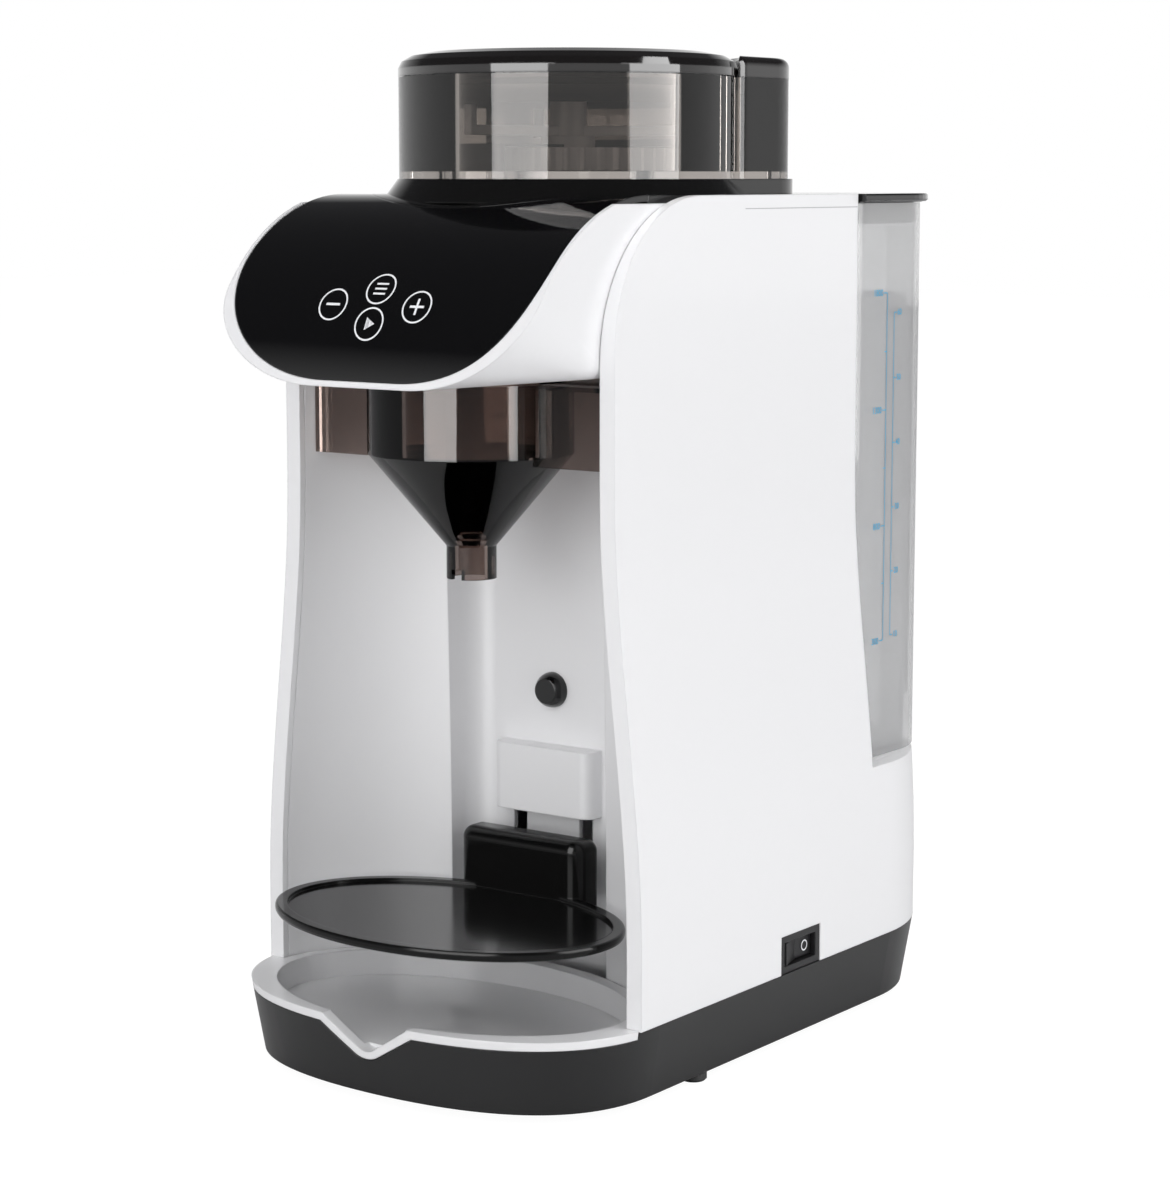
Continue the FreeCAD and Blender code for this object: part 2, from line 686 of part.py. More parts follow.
def hopper_body():
    body = hopper_form(0, size.collar_height, size.hopper_seam)
    room = cylinder(size.hopper_radius - size.hopper_wall, 0, hopper_y, hopper_floor, size.hopper_seam + 1)
    wire = rounded_plan(size.block_half - size.hopper_wall, lip_y + size.block_front + size.hopper_wall,
                        lip_y + size.block_rear - size.hopper_wall, 3, size.block_corner - size.hopper_wall,
                        hopper_floor)
    pocket_room = prism(wire, Vector(0, 0, 60)).cut(
        cylinder(size.hopper_radius, 0, hopper_y, hopper_floor, size.hopper_seam + 1))
    outlet = cylinder(size.outlet_radius, 0, chute_y, 300, hopper_floor + 1)
    shaft_hole = cylinder(size.coupling_radius + size.run_clearance, 0, motor_y, 300, hopper_floor + 1)
    body = body.cut([room, pocket_room, outlet, shaft_hole])
    spigot = cylinder(size.outlet_radius + 2, 0, chute_y, size.body_top + 1, size.collar_height + 1)
    spigot = spigot.cut(cylinder(size.outlet_radius, 0, chute_y, 300, 400))
    axle = cylinder(size.axle_radius, 0, hopper_y, hopper_floor - 1, axle_top)
    return body.fuse([spigot, axle]).removeSplitter()


def gear_blank(teeth, thickness, z):
    # trapezoid teeth on the pitch circle, thinned a little so that a pair runs freely
    radius = size.gear_module * teeth / 2
    outer, root = radius + 0.9 * size.gear_module, radius - 1.15 * size.gear_module
    pitch = 2 * math.pi / teeth
    spots = []
    for tooth in range(teeth):
        middle = tooth * pitch
        for share, reach in ((-0.29, root), (-0.11, outer), (0.11, outer), (0.29, root)):
            bearing = middle + share * pitch
            spots.append(Vector(reach * math.cos(bearing), reach * math.sin(bearing), z))
    return prism(polygon(spots), Vector(0, 0, thickness))


def dosing_wheel():
    wheel = gear_blank(int(size.wheel_teeth), size.wheel_height, wheel_bottom)
    hub_radius = 11
    pockets = []
    for turn_angle in range(0, 360, 45):
        slot = cylinder(size.outlet_radius - 0.5, size.outlet_offset, 0, wheel_bottom - 1, wheel_top + 1)
        slot.rotate(Vector(0, 0, 0), Vector(0, 0, 1), turn_angle + 22.5)
        pockets.append(slot)
    hub = cylinder(hub_radius, 0, 0, wheel_top - 1, wheel_top + 5)
    wheel = wheel.cut(pockets).fuse(hub)
    wheel = wheel.cut(cylinder(size.axle_radius + size.run_clearance, 0, 0, 300, 420))
    # a tooth gap faces the pinion
    wheel.rotate(Vector(0, 0, 0), Vector(0, 0, 1), 90 + 180 / size.wheel_teeth)
    wheel.translate(Vector(0, hopper_y, 0))
    return wheel


def agitator():
    hub_bottom = wheel_top + 5
    hub = cylinder(7.5, 0, hopper_y, hub_bottom, axle_top + 4)
    arms = []
    for bearing in (20, 140, 260):
        reach = size.hopper_radius - size.hopper_wall - 12
        arm = box(4, reach, -2, 2, hub_bottom, hub_bottom + 4)
        blade = box(reach - 3, reach, -2, 2, hub_bottom, hub_bottom + 12)
        bar = arm.fuse(blade)
        bar.rotate(Vector(0, 0, 0), Vector(0, 0, 1), bearing)
        bar.translate(Vector(0, hopper_y, 0))
        arms.append(bar)
    socket = cylinder(size.axle_radius + size.run_clearance, 0, hopper_y, 300, axle_top + size.play)
    return hub.fuse(arms).cut(socket).removeSplitter()


def drive_pinion():
    pinion = gear_blank(int(size.pinion_teeth), size.wheel_height, wheel_bottom)
    shaft = cylinder(size.coupling_radius, 0, 0, size.body_top + 3, wheel_bottom + 1)
    socket = prism(hexagon(size.coupling_radius - 1.3, 300), Vector(0, 0, size.collar_height - 300))
    pinion = pinion.fuse(shaft).cut(socket)
    pinion.rotate(Vector(0, 0, 0), Vector(0, 0, 1), 270)
    pinion.translate(Vector(0, motor_y, 0))
    return pinion


def hexagon(across_corners, z):
    spots = [Vector(across_corners * math.cos(math.radians(60 * i)),
                    across_corners * math.sin(math.radians(60 * i)), z) for i in range(6)]
    return polygon(spots)


def gear_cover():
    # keeps powder off the pinion; it hangs on the hopper's rear wall
    top = wheel_top + 4
    reach = size.hopper_radius - size.hopper_wall - 0.3
    block = cylinder(reach, 0, hopper_y, wheel_top + 1, top)
    block = block.common(box(-26, 26, motor_y - 14, hopper_y + reach, 0, 500))
    block = block.cut(cylinder(12, 0, hopper_y, 300, 500))
    skirt = cylinder(reach, 0, hopper_y, hopper_floor + 0.1, top)
    skirt = skirt.cut(cylinder(reach - 2, 0, hopper_y, 300, 500))
    return block.fuse(skirt.common(box(-26, 26, motor_y - 14, hopper_y + reach, 0, 500))).removeSplitter()


def leveller():
    # a fixed plate over the outlet, so that only powder in a pocket falls
    top = wheel_top + 1.4
    reach = size.hopper_radius - size.hopper_wall - 0.3
    plate = cylinder(reach, 0, hopper_y, wheel_top + size.play, top)
    plate = plate.common(box(-15, 15, hopper_y - reach, chute_y + 12, 0, 500))
    foot = cylinder(reach, 0, hopper_y, hopper_floor + 0.1, top)
    foot = foot.cut(cylinder(reach - 3, 0, hopper_y, 300, 500))
    return plate.fuse(foot.common(box(-15, 15, hopper_y - reach, chute_y, 0, 500))).removeSplitter()


def hopper_lid():
    body = new_body("hopper_lid", back="hopper_back", up="hopper_seam + play")
    turn(body, [("0", "lid_rise - 3.4"), ("hopper_radius - 14", "lid_rise - 3.6"),
                ("hopper_radius - 5", "lid_rise - 5.4"), ("hopper_radius - hopper_wall - 2.4", "0"),
                ("hopper_radius - hopper_wall - 2.4", "-6"), ("hopper_radius - hopper_wall - 0.6", "-6"),
                ("hopper_radius - hopper_wall - 0.6", "0"), ("hopper_radius + 0.2", "0"),
                ("hopper_radius + 0.2", "3.2"), ("hopper_radius - 1.2", "6"),
                ("hopper_radius - 5", "8.2"), ("hopper_radius - 12", "lid_rise - 0.9"),
                ("hopper_radius - 28", "lid_rise - 0.2"), ("0", "lid_rise")])


def lid_seal():
    body = new_body("lid_seal", back="hopper_back", up="hopper_seam + play")
    inner, outer = "hopper_radius - hopper_wall - 0.6", "hopper_radius - hopper_wall - 0.1"
    turn(body, [(inner, "-4.6"), (outer, "-4.2"), (outer, "-2.2"), (inner, "-1.8")])


def pocket_cap():
    gap = 1.2
    cap = rounded_plan(size.block_half + 0.2, lip_y + size.block_front - 0.2, lip_y + size.block_rear + 0.2,
                       6, size.block_corner + 0.2, size.hopper_seam)
    cap = prism(cap, Vector(0, 0, size.lid_rise - 2))
    top_edges = [edge for edge in cap.Edges if edge.BoundBox.ZMin > size.hopper_seam + size.lid_rise - 2.1]
    cap = cap.makeFillet(4, top_edges)
    inset = size.hopper_wall + 0.2
    plug = rounded_plan(size.block_half - inset, lip_y + size.block_front + inset,
                        lip_y + size.block_rear - inset, 3, size.block_corner - inset, size.hopper_seam - 5)
    plug = prism(plug, Vector(0, 0, 6)).cut(cylinder(size.hopper_radius + 0.3, 0, hopper_y, 300, 500))
    cap = cap.cut(cylinder(size.hopper_radius + gap, 0, hopper_y, 300, 500))
    return cap.fuse(plug).removeSplitter()


# Funnel drawer

funnel_top = size.face_bottom - size.rim_width - size.play


def funnel_drawer():
    y = lip_y + size.funnel_back
    top = funnel_top
    wall = size.funnel_wall

    def vessel(inset, lift):
        bowl = cylinder(size.bowl_radius - inset, 0, y, size.bowl_bottom + lift, top + lift)
        cone = Part.makeCone(size.nozzle_radius - inset, size.bowl_radius - inset,
                             size.bowl_bottom - size.cone_bottom, Vector(0, y, size.cone_bottom + lift))
        nozzle = cylinder(size.nozzle_radius - inset, 0, y, size.nozzle_bottom - lift,
                          size.cone_bottom + lift)
        return bowl.fuse([cone, nozzle])

    inside = vessel(wall, 0.6).fuse(cylinder(size.bowl_radius - wall, 0, y, size.bowl_bottom + 1, top + 1))
    front = lip_y + size.carrier_back
    carrier = box(-90, 90, front, front + 2, size.bowl_bottom - 3, top)
    carrier = carrier.fuse(box(-90, 90, front, lip_y + 52, top - 2, top))
    reach = half_width(size.head_floor) - size.lip_width - 0.8
    carrier = carrier.common(ellipse_prism(reach, size.bay_depth - 0.8, lip_y, 200, 300))
    notch = box(-2.5, 2.5, y - 30, y, size.nozzle_bottom - 1, size.nozzle_bottom + 4)
    return vessel(0, 0).fuse(carrier).cut([inside, notch]).removeSplitter()


def funnel_rails():
    # ledges on the bay's side walls, under the drawer's flange
    top = funnel_top - 2 - size.play
    z = size.head_floor
    half = half_width(z) - size.lip_width - 0.2
    ring = ellipse_prism(half, size.bay_depth - 0.2, lip_y, top - 2.5, top)
    ring = ring.cut(ellipse_prism(half - 5, size.bay_depth - 5, lip_y, 200, 300))
    strip = box(-150, 150, lip_y + size.carrier_back + 3, lip_y + 34, 0, 400)
    return ring.common(strip)


# Powder and water paths in the head

def powder_chute():
    body = new_body("powder_chute", back="hopper_back - outlet_offset", up="head_floor - 0.4")
    inner, outer = "outlet_radius + 1", "outlet_radius + 3"
    top = "body_top + 0.6 - head_floor"
    turn(body, [(inner, "0"), (outer, "0"), (outer, f"{top} - 5"), (f"{outer} + 0.2", f"{top} - 4.4"),
                (f"{outer} + 0.2", top), (f"{outer} - 0.4", top), (inner, f"{top} - 4")])


def water_nozzle():
    body = new_body("water_nozzle", back="12", up="head_floor - 0.5", across="24")
    turn(body, [("1.2", "0"), ("2.4", "0"), ("4", "1.5"), ("4", "14"), ("6", "14"), ("6", "17"),
                ("3.4", "17"), ("3.4", "24"), ("2", "24"), ("2", "4"), ("1.2", "3")])


# Water tank

tank_front = seam_y + 0.6
tank_bottom = size.shelf_height + 0.3
valve_y = lip_y + size.valve_back


def tank_plan(inset, z, front_radius=5):
    return rounded_plan(size.tank_half - inset, tank_front + inset, lip_y + size.tank_rear - inset,
                        max(front_radius - inset, 1.5), size.tank_corner - inset, z)


def water_tank():
    tank = prism(tank_plan(0, tank_bottom), Vector(0, 0, size.tank_top - tank_bottom))
    floor = tank_bottom + size.tank_wall
    step = prism(tank_plan(size.tank_wall + 2, floor), Vector(0, 0, 22))
    room = prism(tank_plan(size.tank_wall, floor + 21), Vector(0, 0, size.tank_top - floor))
    outlet = cylinder(size.valve_radius, 0, valve_y, tank_bottom - 1, floor + 1)
    seat = cylinder(size.valve_radius + 3, 0, valve_y, floor - 0.5, floor + 5)
    seat = seat.cut(cylinder(size.valve_radius, 0, valve_y, floor - 2, floor + 10))
    guide = cylinder(4, 0, valve_y, tank_bottom + 0.4, tank_bottom + 2)
    spokes = [box(-1, 1, valve_y - size.valve_radius - 0.5, valve_y + size.valve_radius + 0.5,
                  tank_bottom + 0.4, tank_bottom + 2),
              box(-size.valve_radius - 0.5, size.valve_radius + 0.5, valve_y - 1, valve_y + 1,
                  tank_bottom + 0.4, tank_bottom + 2)]
    guide = guide.fuse(spokes).cut(cylinder(2 + size.run_clearance, 0, valve_y, 0, 300))
    return tank.cut([step, room, outlet]).fuse([seat, guide]).removeSplitter()


seat_top = tank_bottom + size.tank_wall + 5


def valve_poppet():
    body = new_body("valve_poppet", back="valve_back", up="shelf_height")
    rise = "5.3 + tank_wall"
    turn(body, [("0", "0.5"), ("2", "0.5"), ("2", f"{rise} + 0.2"), ("valve_radius + 1.6", f"{rise} + 0.2"),
                ("valve_radius + 1.6", f"{rise} + 1.8"), ("3", f"{rise} + 1.8"), ("3", f"{rise} + 4"),
                ("0", f"{rise} + 4")])


def valve_spring():
    # a coil between the poppet and the strainer's roof, lofted through hexagons
    turns = 4
    steps = 12
    radius = 5
    wire = 0.5
    low = seat_top + 2.6
    high = seat_top + 10.2
    sections = []
    for step in range(turns * steps + 1):
        bearing = 2 * math.pi * step / steps
        rise = low + (high - low) * step / (turns * steps)
        spots = []
        for corner in range(6):
            lean = math.radians(60 * corner)
            reach = radius + wire * math.cos(lean)
            spots.append(Vector(reach * math.cos(bearing), valve_y + reach * math.sin(bearing),
                                rise + wire * math.sin(lean)))
        sections.append(polygon(spots))
    return Part.makeLoft(sections, True, True)


def strainer():
    body = new_body("strainer", back="valve_back", up="shelf_height + tank_wall + 0.4")
    rise = 17
    turn(body, [("valve_radius + 3.2", "0"), ("valve_radius + 5", "0"), ("valve_radius + 4.4", f"{rise}"),
                ("0", f"{rise}"), ("0", f"{rise} - 1.2"), ("valve_radius + 3.2", f"{rise} - 1.2")])
    sketch = new_sketch(body, "XZ_Plane")
    draw_outline(sketch, [("-2", "3"), ("2", "3"), ("2", "12"), ("-2", "12")])
    slot = pocket(body, sketch, "40", True)
    slot.Midplane = True
    doc.recompute()
    ring = body.newObject("PartDesign::PolarPattern", "strainer_slots")
    ring.Originals = [slot]
    ring.Axis = (next(f for f in body.Origin.OriginFeatures if f.Role == "Z_Axis"), [""])
    ring.Angle = 180
    ring.Occurrences = 6
    body.Tip = ring


def tank_cradle():
    bulkhead = box(-75.2, 75.2, seam_y - 2.7, seam_y - 0.2, size.shelf_height - 10, deck_bottom - 0.1)
    shelf = shell_form(size.lip_width + 0.1, size.shelf_height - 3, size.shelf_height)
    shelf = shelf.common(box(-150, 150, seam_y - 2.7, 250, 0, 400))
    cradle = bulkhead.fuse(shelf)
    ring = cylinder(size.valve_radius + 4, 0, valve_y, size.shelf_height - 12, size.shelf_height)
    well = cylinder(size.valve_radius + 2, 0, valve_y, size.shelf_height - 9, size.shelf_height + 1)
    spigot = cylinder(size.tube_radius, 0, valve_y, size.shelf_height - 20, size.shelf_height - 8)
    bore = cylinder(size.tube_radius - 1, 0, valve_y, size.shelf_height - 25, size.shelf_height)
    pin = cylinder(1.2, 0, valve_y, size.shelf_height - 9.5, size.shelf_height - 2.2)
    bridge = box(-size.tube_radius, size.tube_radius, valve_y - 1, valve_y + 1,
                 size.shelf_height - 10, size.shelf_height - 8.4)
    return cradle.fuse([ring, spigot]).cut([well, bore]).fuse([pin, bridge]).removeSplitter()


def socket_seal():
    body = new_body("socket_seal", back="valve_back", up="shelf_height - 9")
    turn(body, [("valve_radius - 2", "0"), ("valve_radius + 2", "0"), ("valve_radius + 2", "3"),
                ("valve_radius", "3"), ("valve_radius", "1.4"), ("valve_radius - 2", "1.4")])


def tank_lid():
    top = size.tank_top + 0.3
    wire = rounded_plan(size.tank_half + 0.6, tank_front - 0.2, lip_y + size.tank_rear + 1.6, 5,
                        size.tank_corner + 1, top)
    slab = prism(wire, Vector(0, 0, 3))
    rim = [edge for edge in slab.Edges if edge.BoundBox.ZMin > top + 2.9]
    slab = slab.makeFillet(1, rim)
    plug = prism(tank_plan(size.tank_wall + 0.5, top - 9), Vector(0, 0, 9.5))
    plug = plug.cut(prism(tank_plan(size.tank_wall + 2.5, top - 10), Vector(0, 0, 9)))
    groove_ring = prism(tank_plan(size.tank_wall + 0.4, top - 8), Vector(0, 0, 4.4))
    groove_ring = groove_ring.cut(prism(tank_plan(size.tank_wall + 1.2, top - 9), Vector(0, 0, 7)))
    return slab.fuse(plug).cut(groove_ring).removeSplitter()


def tank_seal():
    top = size.tank_top + 0.3
    seal = prism(tank_plan(size.tank_wall + 0.12, top - 7.9), Vector(0, 0, 4.2))
    return seal.cut(prism(tank_plan(size.tank_wall + 1.2, top - 9), Vector(0, 0, 7)))


# Works behind the bay

frame_y = lip_y + 88


def inner_frame():
    # an upright plate with feet over the base screws; it carries the works
    plate = box(-68, 68, frame_y, frame_y + 3, plate_top, deck_bottom - 0.1)
    windows = [box(-52, -8, frame_y - 1, frame_y + 4, 60, 130),
               box(8, 52, frame_y - 1, frame_y + 4, 60, 130),
               box(-52, 52, frame_y - 1, frame_y + 4, 250, 276),
               box(-36, -2, frame_y - 1, frame_y + 4, 288, 328)]
    bosses = []
    for x, y in screw_spots[2:]:
        boss = cylinder(5, x, y, plate_top, boss_top)
        bosses.append(boss.cut(cylinder(size.screw_radius + 0.05, x, y, 0, boss_top - 0.5)))
    webs = [box(x - 1.5, x + 1.5, frame_y + 3, screw_spots[4][1] - 4.5, plate_top, boss_top)
            for x in (-62, 62)]
    webs = [web.cut([cylinder(4.9, x, y, 0, 100) for x, y in screw_spots[2:]]) for web in webs]
    return plate.cut(windows).fuse(bosses + webs).removeSplitter()


pump_x = 38
pump_y = lip_y + 122
heater_x = -36
heater_y = frame_y + 27


def water_pump():
    block = box(pump_x - 16, pump_x + 16, pump_y - 18, pump_y + 18, plate_top, plate_top + 26)
    motor = cylinder(14, pump_x, pump_y, plate_top + 26, plate_top + 64)
    ports = [Part.makeCylinder(size.tube_radius - 1, 8, Vector(pump_x - 24, pump_y + away, plate_top + 14),
                               Vector(1, 0, 0)) for away in (8, -8)]
    return block.fuse([motor] + ports).removeSplitter()


def water_heater():
    tank = cylinder(20, heater_x, heater_y, 150, 224)
    caps = [cylinder(22, heater_x, heater_y, 146, 152), cylinder(22, heater_x, heater_y, 222, 228)]
    lug = box(heater_x - 10, heater_x + 10, frame_y + 3, heater_y - 15, 156, 218)
    inlet = cylinder(size.tube_radius - 1, heater_x, heater_y, 138, 147)
    outlet = cylinder(size.tube_radius - 1, heater_x, heater_y, 227, 236)
    return tank.fuse(caps + [lug, inlet, outlet]).removeSplitter()


def thermostat():
    body = new_body("thermostat", across=str(heater_x), back=str(heater_y - lip_y + 20.2), up="190")
    sketch = new_sketch(body, "XZ_Plane")
    draw_circle(sketch, "0", "0", "7")
    pad(body, sketch, "5", True)


def hose(spots, bore):
    # a hollow hose with an even bend at each corner, lofted through octagons
    route = [spots[0]]
    for before, corner, after in zip(spots, spots[1:], spots[2:]):
        into, out = corner - before, after - corner
        reach = 0.45 * min(into.Length, out.Length)
        first = corner - into.normalize() * reach
        last = corner + out.normalize() * reach
        for step in range(7):
            share = step / 6
            route.append(first * (1 - share) ** 2 + corner * 2 * share * (1 - share) + last * share ** 2)
    route.append(spots[-1])

    def tube(radius):
        side = Vector(0, 0, 1) if abs((route[1] - route[0]).z) < 1 else Vector(1, 0, 0)
        sections = []
        for index, spot in enumerate(route):
            ahead = route[min(index + 1, len(route) - 1)] - route[max(index - 1, 0)]
            ahead.normalize()
            side = side - ahead * side.dot(ahead)
            side.normalize()
            up = ahead.cross(side)
            around = [math.radians(45 * corner) for corner in range(8)]
            reach = radius / math.cos(math.pi / 8)
            sections.append(polygon([spot + (side * math.cos(turned) + up * math.sin(turned)) * reach
                                     for turned in around]))
        return Part.makeLoft(sections, True, True)

    return tube(size.tube_radius + 1.2).cut(tube(bore))


def inlet_hose():
    start = Vector(0, valve_y, size.shelf_height - 14)
    level = plate_top + 14
    return hose([start, Vector(0, valve_y, level + 18), Vector(0, pump_y + 8 + 30, level),
                 Vector(pump_x - 34, pump_y + 8, level), Vector(pump_x - 17, pump_y + 8, level)],
                size.tube_radius + 0.05)


def heater_hose():
    level = plate_top + 14
    start = Vector(pump_x - 17, pump_y - 8, level)
    return hose([start, Vector(pump_x - 44, pump_y - 8, level), Vector(heater_x, heater_y, level + 40),
                 Vector(heater_x, heater_y, 144)], size.tube_radius - 0.95)


def head_hose():
    start = Vector(heater_x, heater_y, 230)
    nozzle_top = size.head_floor + 20
    return hose([start, Vector(heater_x, heater_y, 268), Vector(heater_x + 20, frame_y - 4, 318),
                 Vector(spray_x, spray_y + 34, nozzle_top + 24), Vector(spray_x, spray_y, nozzle_top + 20),
                 Vector(spray_x, spray_y, nozzle_top)], 3.45)


def gear_motor():
    can_top = deck_bottom - 18
    can = cylinder(size.motor_radius, 0, motor_y + 8, can_top - size.motor_length, can_top)
    gear_box = prism(rounded_plan(20, motor_y - 18, motor_y + 28, 6, 6, can_top - 0.1), Vector(0, 0, 18))
    return can.fuse(gear_box).cut(cylinder(3 + size.run_clearance, 0, motor_y, deck_bottom - 6, 400))


def drive_coupling():
    body = new_body("drive_coupling", back="hopper_back + gear_module * (wheel_teeth + pinion_teeth) / 2",
                    up="body_top - deck_wall")
    turn(body, [("0", "-5.9"), ("3", "-5.9"), ("3", "0.3"), ("coupling_radius + 1.6", "0.3"),
                ("coupling_radius + 1.6", "deck_wall - 0.4"), ("0", "deck_wall - 0.4")])
    sketch = new_sketch(body, "XY_Plane")
    dog = "(coupling_radius - 1.7)"
    spots = []
    for step in range(6):
        bearing = math.radians(60 * step + 270)
        spots.append((f"{dog} * {math.cos(bearing):.5f}", f"{dog} * {math.sin(bearing):.5f}"))
    draw_outline(sketch, spots)
    pad(body, sketch, "deck_wall + collar_height - body_top - 0.5")


def control_board():
    board = box(-44, 44, -19, 21, 70.5, 72.1)
    chips = [box(-38, -20, -14, 4, 68, 70.6), box(16, 34, -18, -6, 68.6, 70.6)]
    legs = [Part.makeCylinder(2.5, 8, Vector(x, y, 72)) for x in (-40, 40) for y in (-14, 12)]
    reach = face_back - size.head_wall - 0.3
    room = Part.makeCylinder(reach, 120, Vector(-60, 0, 0), Vector(1, 0, 0))
    return touch_frame(board.fuse(chips + legs).common(room).removeSplitter())


touch_spots = [(-20.6, 0), (20.6, 0), (0, 7.4), (0, -7.4)]


def touch_pads():
    pads = []
    for x, y in touch_spots:
        foot = Part.makeCylinder(3, 2, Vector(x, y, 72.1), Vector(0, 0, 1))
        stem = Part.makeCylinder(2.2, 4.6, Vector(x, y, 73), Vector(0, 0, 1))
        disc = Part.makeCylinder(5.8, 1, Vector(x, y, 77.4), Vector(0, 0, 1))
        pads.append(foot.fuse([stem, disc]).removeSplitter())
    return touch_frame(Part.makeCompound(pads))


def power_board():
    y0 = lip_y + 152
    board = box(-59, -10, y0, y0 + 1.6, plate_top, 84)
    parts = [Part.makeCylinder(9, 24, Vector(-48, y0 + 0.5, 60), Vector(0, -1, 0)),
             box(-36, -14, y0 - 20, y0 + 0.5, 44, 70), box(-56, -38, y0 - 14, y0 + 0.5, 20, 38)]
    return board.fuse(parts).removeSplitter()


# Power switch and cord gland

switch_y = lip_y + size.switch_back + size.switch_length / 2
switch_z = skirt_top + size.switch_height / 2
switch_face = size.base_half - 0.4
rocker_x = size.base_half - 5


def switch_frame():
    y0 = switch_y - size.switch_length / 2
    y1 = switch_y + size.switch_length / 2
    top = skirt_top + size.switch_height
    frame = box(size.base_half - 3.4, switch_face, y0, y1, skirt_top + 0.1, top)
    body = box(size.base_half - 22, size.base_half - 3, y0 + 2, y1 - 2, skirt_top + 2, top - 2)
    hollow = box(size.base_half - 12, 120, y0 + 3, y1 - 3, skirt_top + 3, top - 3)
    pins = [box(size.base_half - 30, size.base_half - 21, switch_y + dy - 2, switch_y + dy + 2,
                switch_z - 0.4, switch_z + 0.4) for dy in (-6, 6)]
    axle_seats = Part.makeCylinder(1.5, size.switch_height - 4, Vector(rocker_x, switch_y, skirt_top + 2))
    return frame.fuse(body).cut(hollow).cut(axle_seats).fuse(pins).removeSplitter()


def switch_rocker():
    # a shallow V in plan: the rear half, marked off, is pressed in at rest
    tilt = math.radians(8)
    half = size.switch_length / 2 - 3.6
    z0 = skirt_top + 3.4
    z1 = skirt_top + size.switch_height - 3.4
    centre = Vector(rocker_x, switch_y, z0)
    face = 1.9
    tip = face + half * math.tan(tilt)
    spots = [Vector(face - 0.1, 0, 0), Vector(tip, -half, 0), Vector(-2.4, -half, 0),
             Vector(-4.4, 0, 0), Vector(-2.4, half, 0), Vector(tip, half, 0)]
    rocker = prism(polygon(spots), Vector(0, 0, z1 - z0))
    axle = Part.makeCylinder(1.5 - size.run_clearance, z1 - z0 + 2, Vector(0, 0, -1))
    rocker = rocker.fuse(axle).removeSplitter()
    rocker.rotate(Vector(0, 0, 0), Vector(0, 0, 1), 7)
    rocker.translate(centre)
    return rocker


def cord_gland():
    # a rubber bush in the rear of the skirt; the supply cord passes through it
    rear = size.base_depth / 2
    outer = lying_cylinder(size.gland_bore + 2.9, 0, rear - 12.2, size.gland_height, 12)
    inner_ring = lying_cylinder(size.gland_bore + 5, 0, rear - 12.2, size.gland_height, 3)
    bore = lying_cylinder(size.gland_bore, 0, rear - 30, size.gland_height, 40)
    return outer.fuse(inner_ring).cut(bore).removeSplitter()


keep_shape("base_skirt", base_skirt())
keep_shape("base_plate", base_plate())
keep_shape("rubber_feet", rubber_feet())
keep_shape("base_screws", base_screws())
shell, notch = side_shell()
keep_shape("side_shell_right", shell.cut(notch))
keep_shape("side_shell_left", mirrored(shell))
keep_shape("bay_liner", bay_liner())
keep_shape("bottle_sensor", bottle_sensor())
keep_shape("head_housing", head_housing())
keep_shape("face_panel", face_panel())
keep_shape("top_deck", top_deck())
keep_shape("bottle_platform", bottle_platform())
keep_shape("drip_tray", drip_tray())
keep_shape("tray_bed", tray_bed())
keep_shape("hopper_body", hopper_body())
keep_shape("dosing_wheel", dosing_wheel())
keep_shape("agitator", agitator())
keep_shape("drive_pinion", drive_pinion())
keep_shape("gear_cover", gear_cover())
keep_shape("leveller", leveller())
hopper_lid()
lid_seal()
keep_shape("pocket_cap", pocket_cap())
keep_shape("funnel_drawer", funnel_drawer())
keep_shape("funnel_rails", funnel_rails())
powder_chute()
water_nozzle()
keep_shape("water_tank", water_tank())
valve_poppet()
keep_shape("valve_spring", valve_spring())
strainer()
keep_shape("tank_cradle", tank_cradle())
socket_seal()
keep_shape("tank_lid", tank_lid())
keep_shape("tank_seal", tank_seal())
keep_shape("inner_frame", inner_frame())
keep_shape("water_pump", water_pump())
keep_shape("water_heater", water_heater())
thermostat()
keep_shape("inlet_hose", inlet_hose())
keep_shape("heater_hose", heater_hose())
keep_shape("head_hose", head_hose())
keep_shape("gear_motor", gear_motor())
drive_coupling()
keep_shape("control_board", control_board())
keep_shape("touch_pads", touch_pads())
keep_shape("power_board", power_board())
keep_shape("switch_frame", switch_frame())
keep_shape("switch_rocker", switch_rocker())
keep_shape("cord_gland", cord_gland())

doc.recompute()
for item in doc.Objects:
    if "Invalid" in item.State or "Error" in item.State:
        raise RuntimeError(f"{item.Label} failed to rebuild")
for label, piece in pieces.items():
    if piece.Shape.isNull() or not piece.Shape.isValid():
        raise RuntimeError(f"{label} has no valid shape")
for label, piece in pieces.items():
    piece.Shape.exportStep(f"parts/{label}.step")
    print(f"{label}: {len(piece.Shape.Solids)} solids, {piece.Shape.Volume / 1000:.1f} cm3")
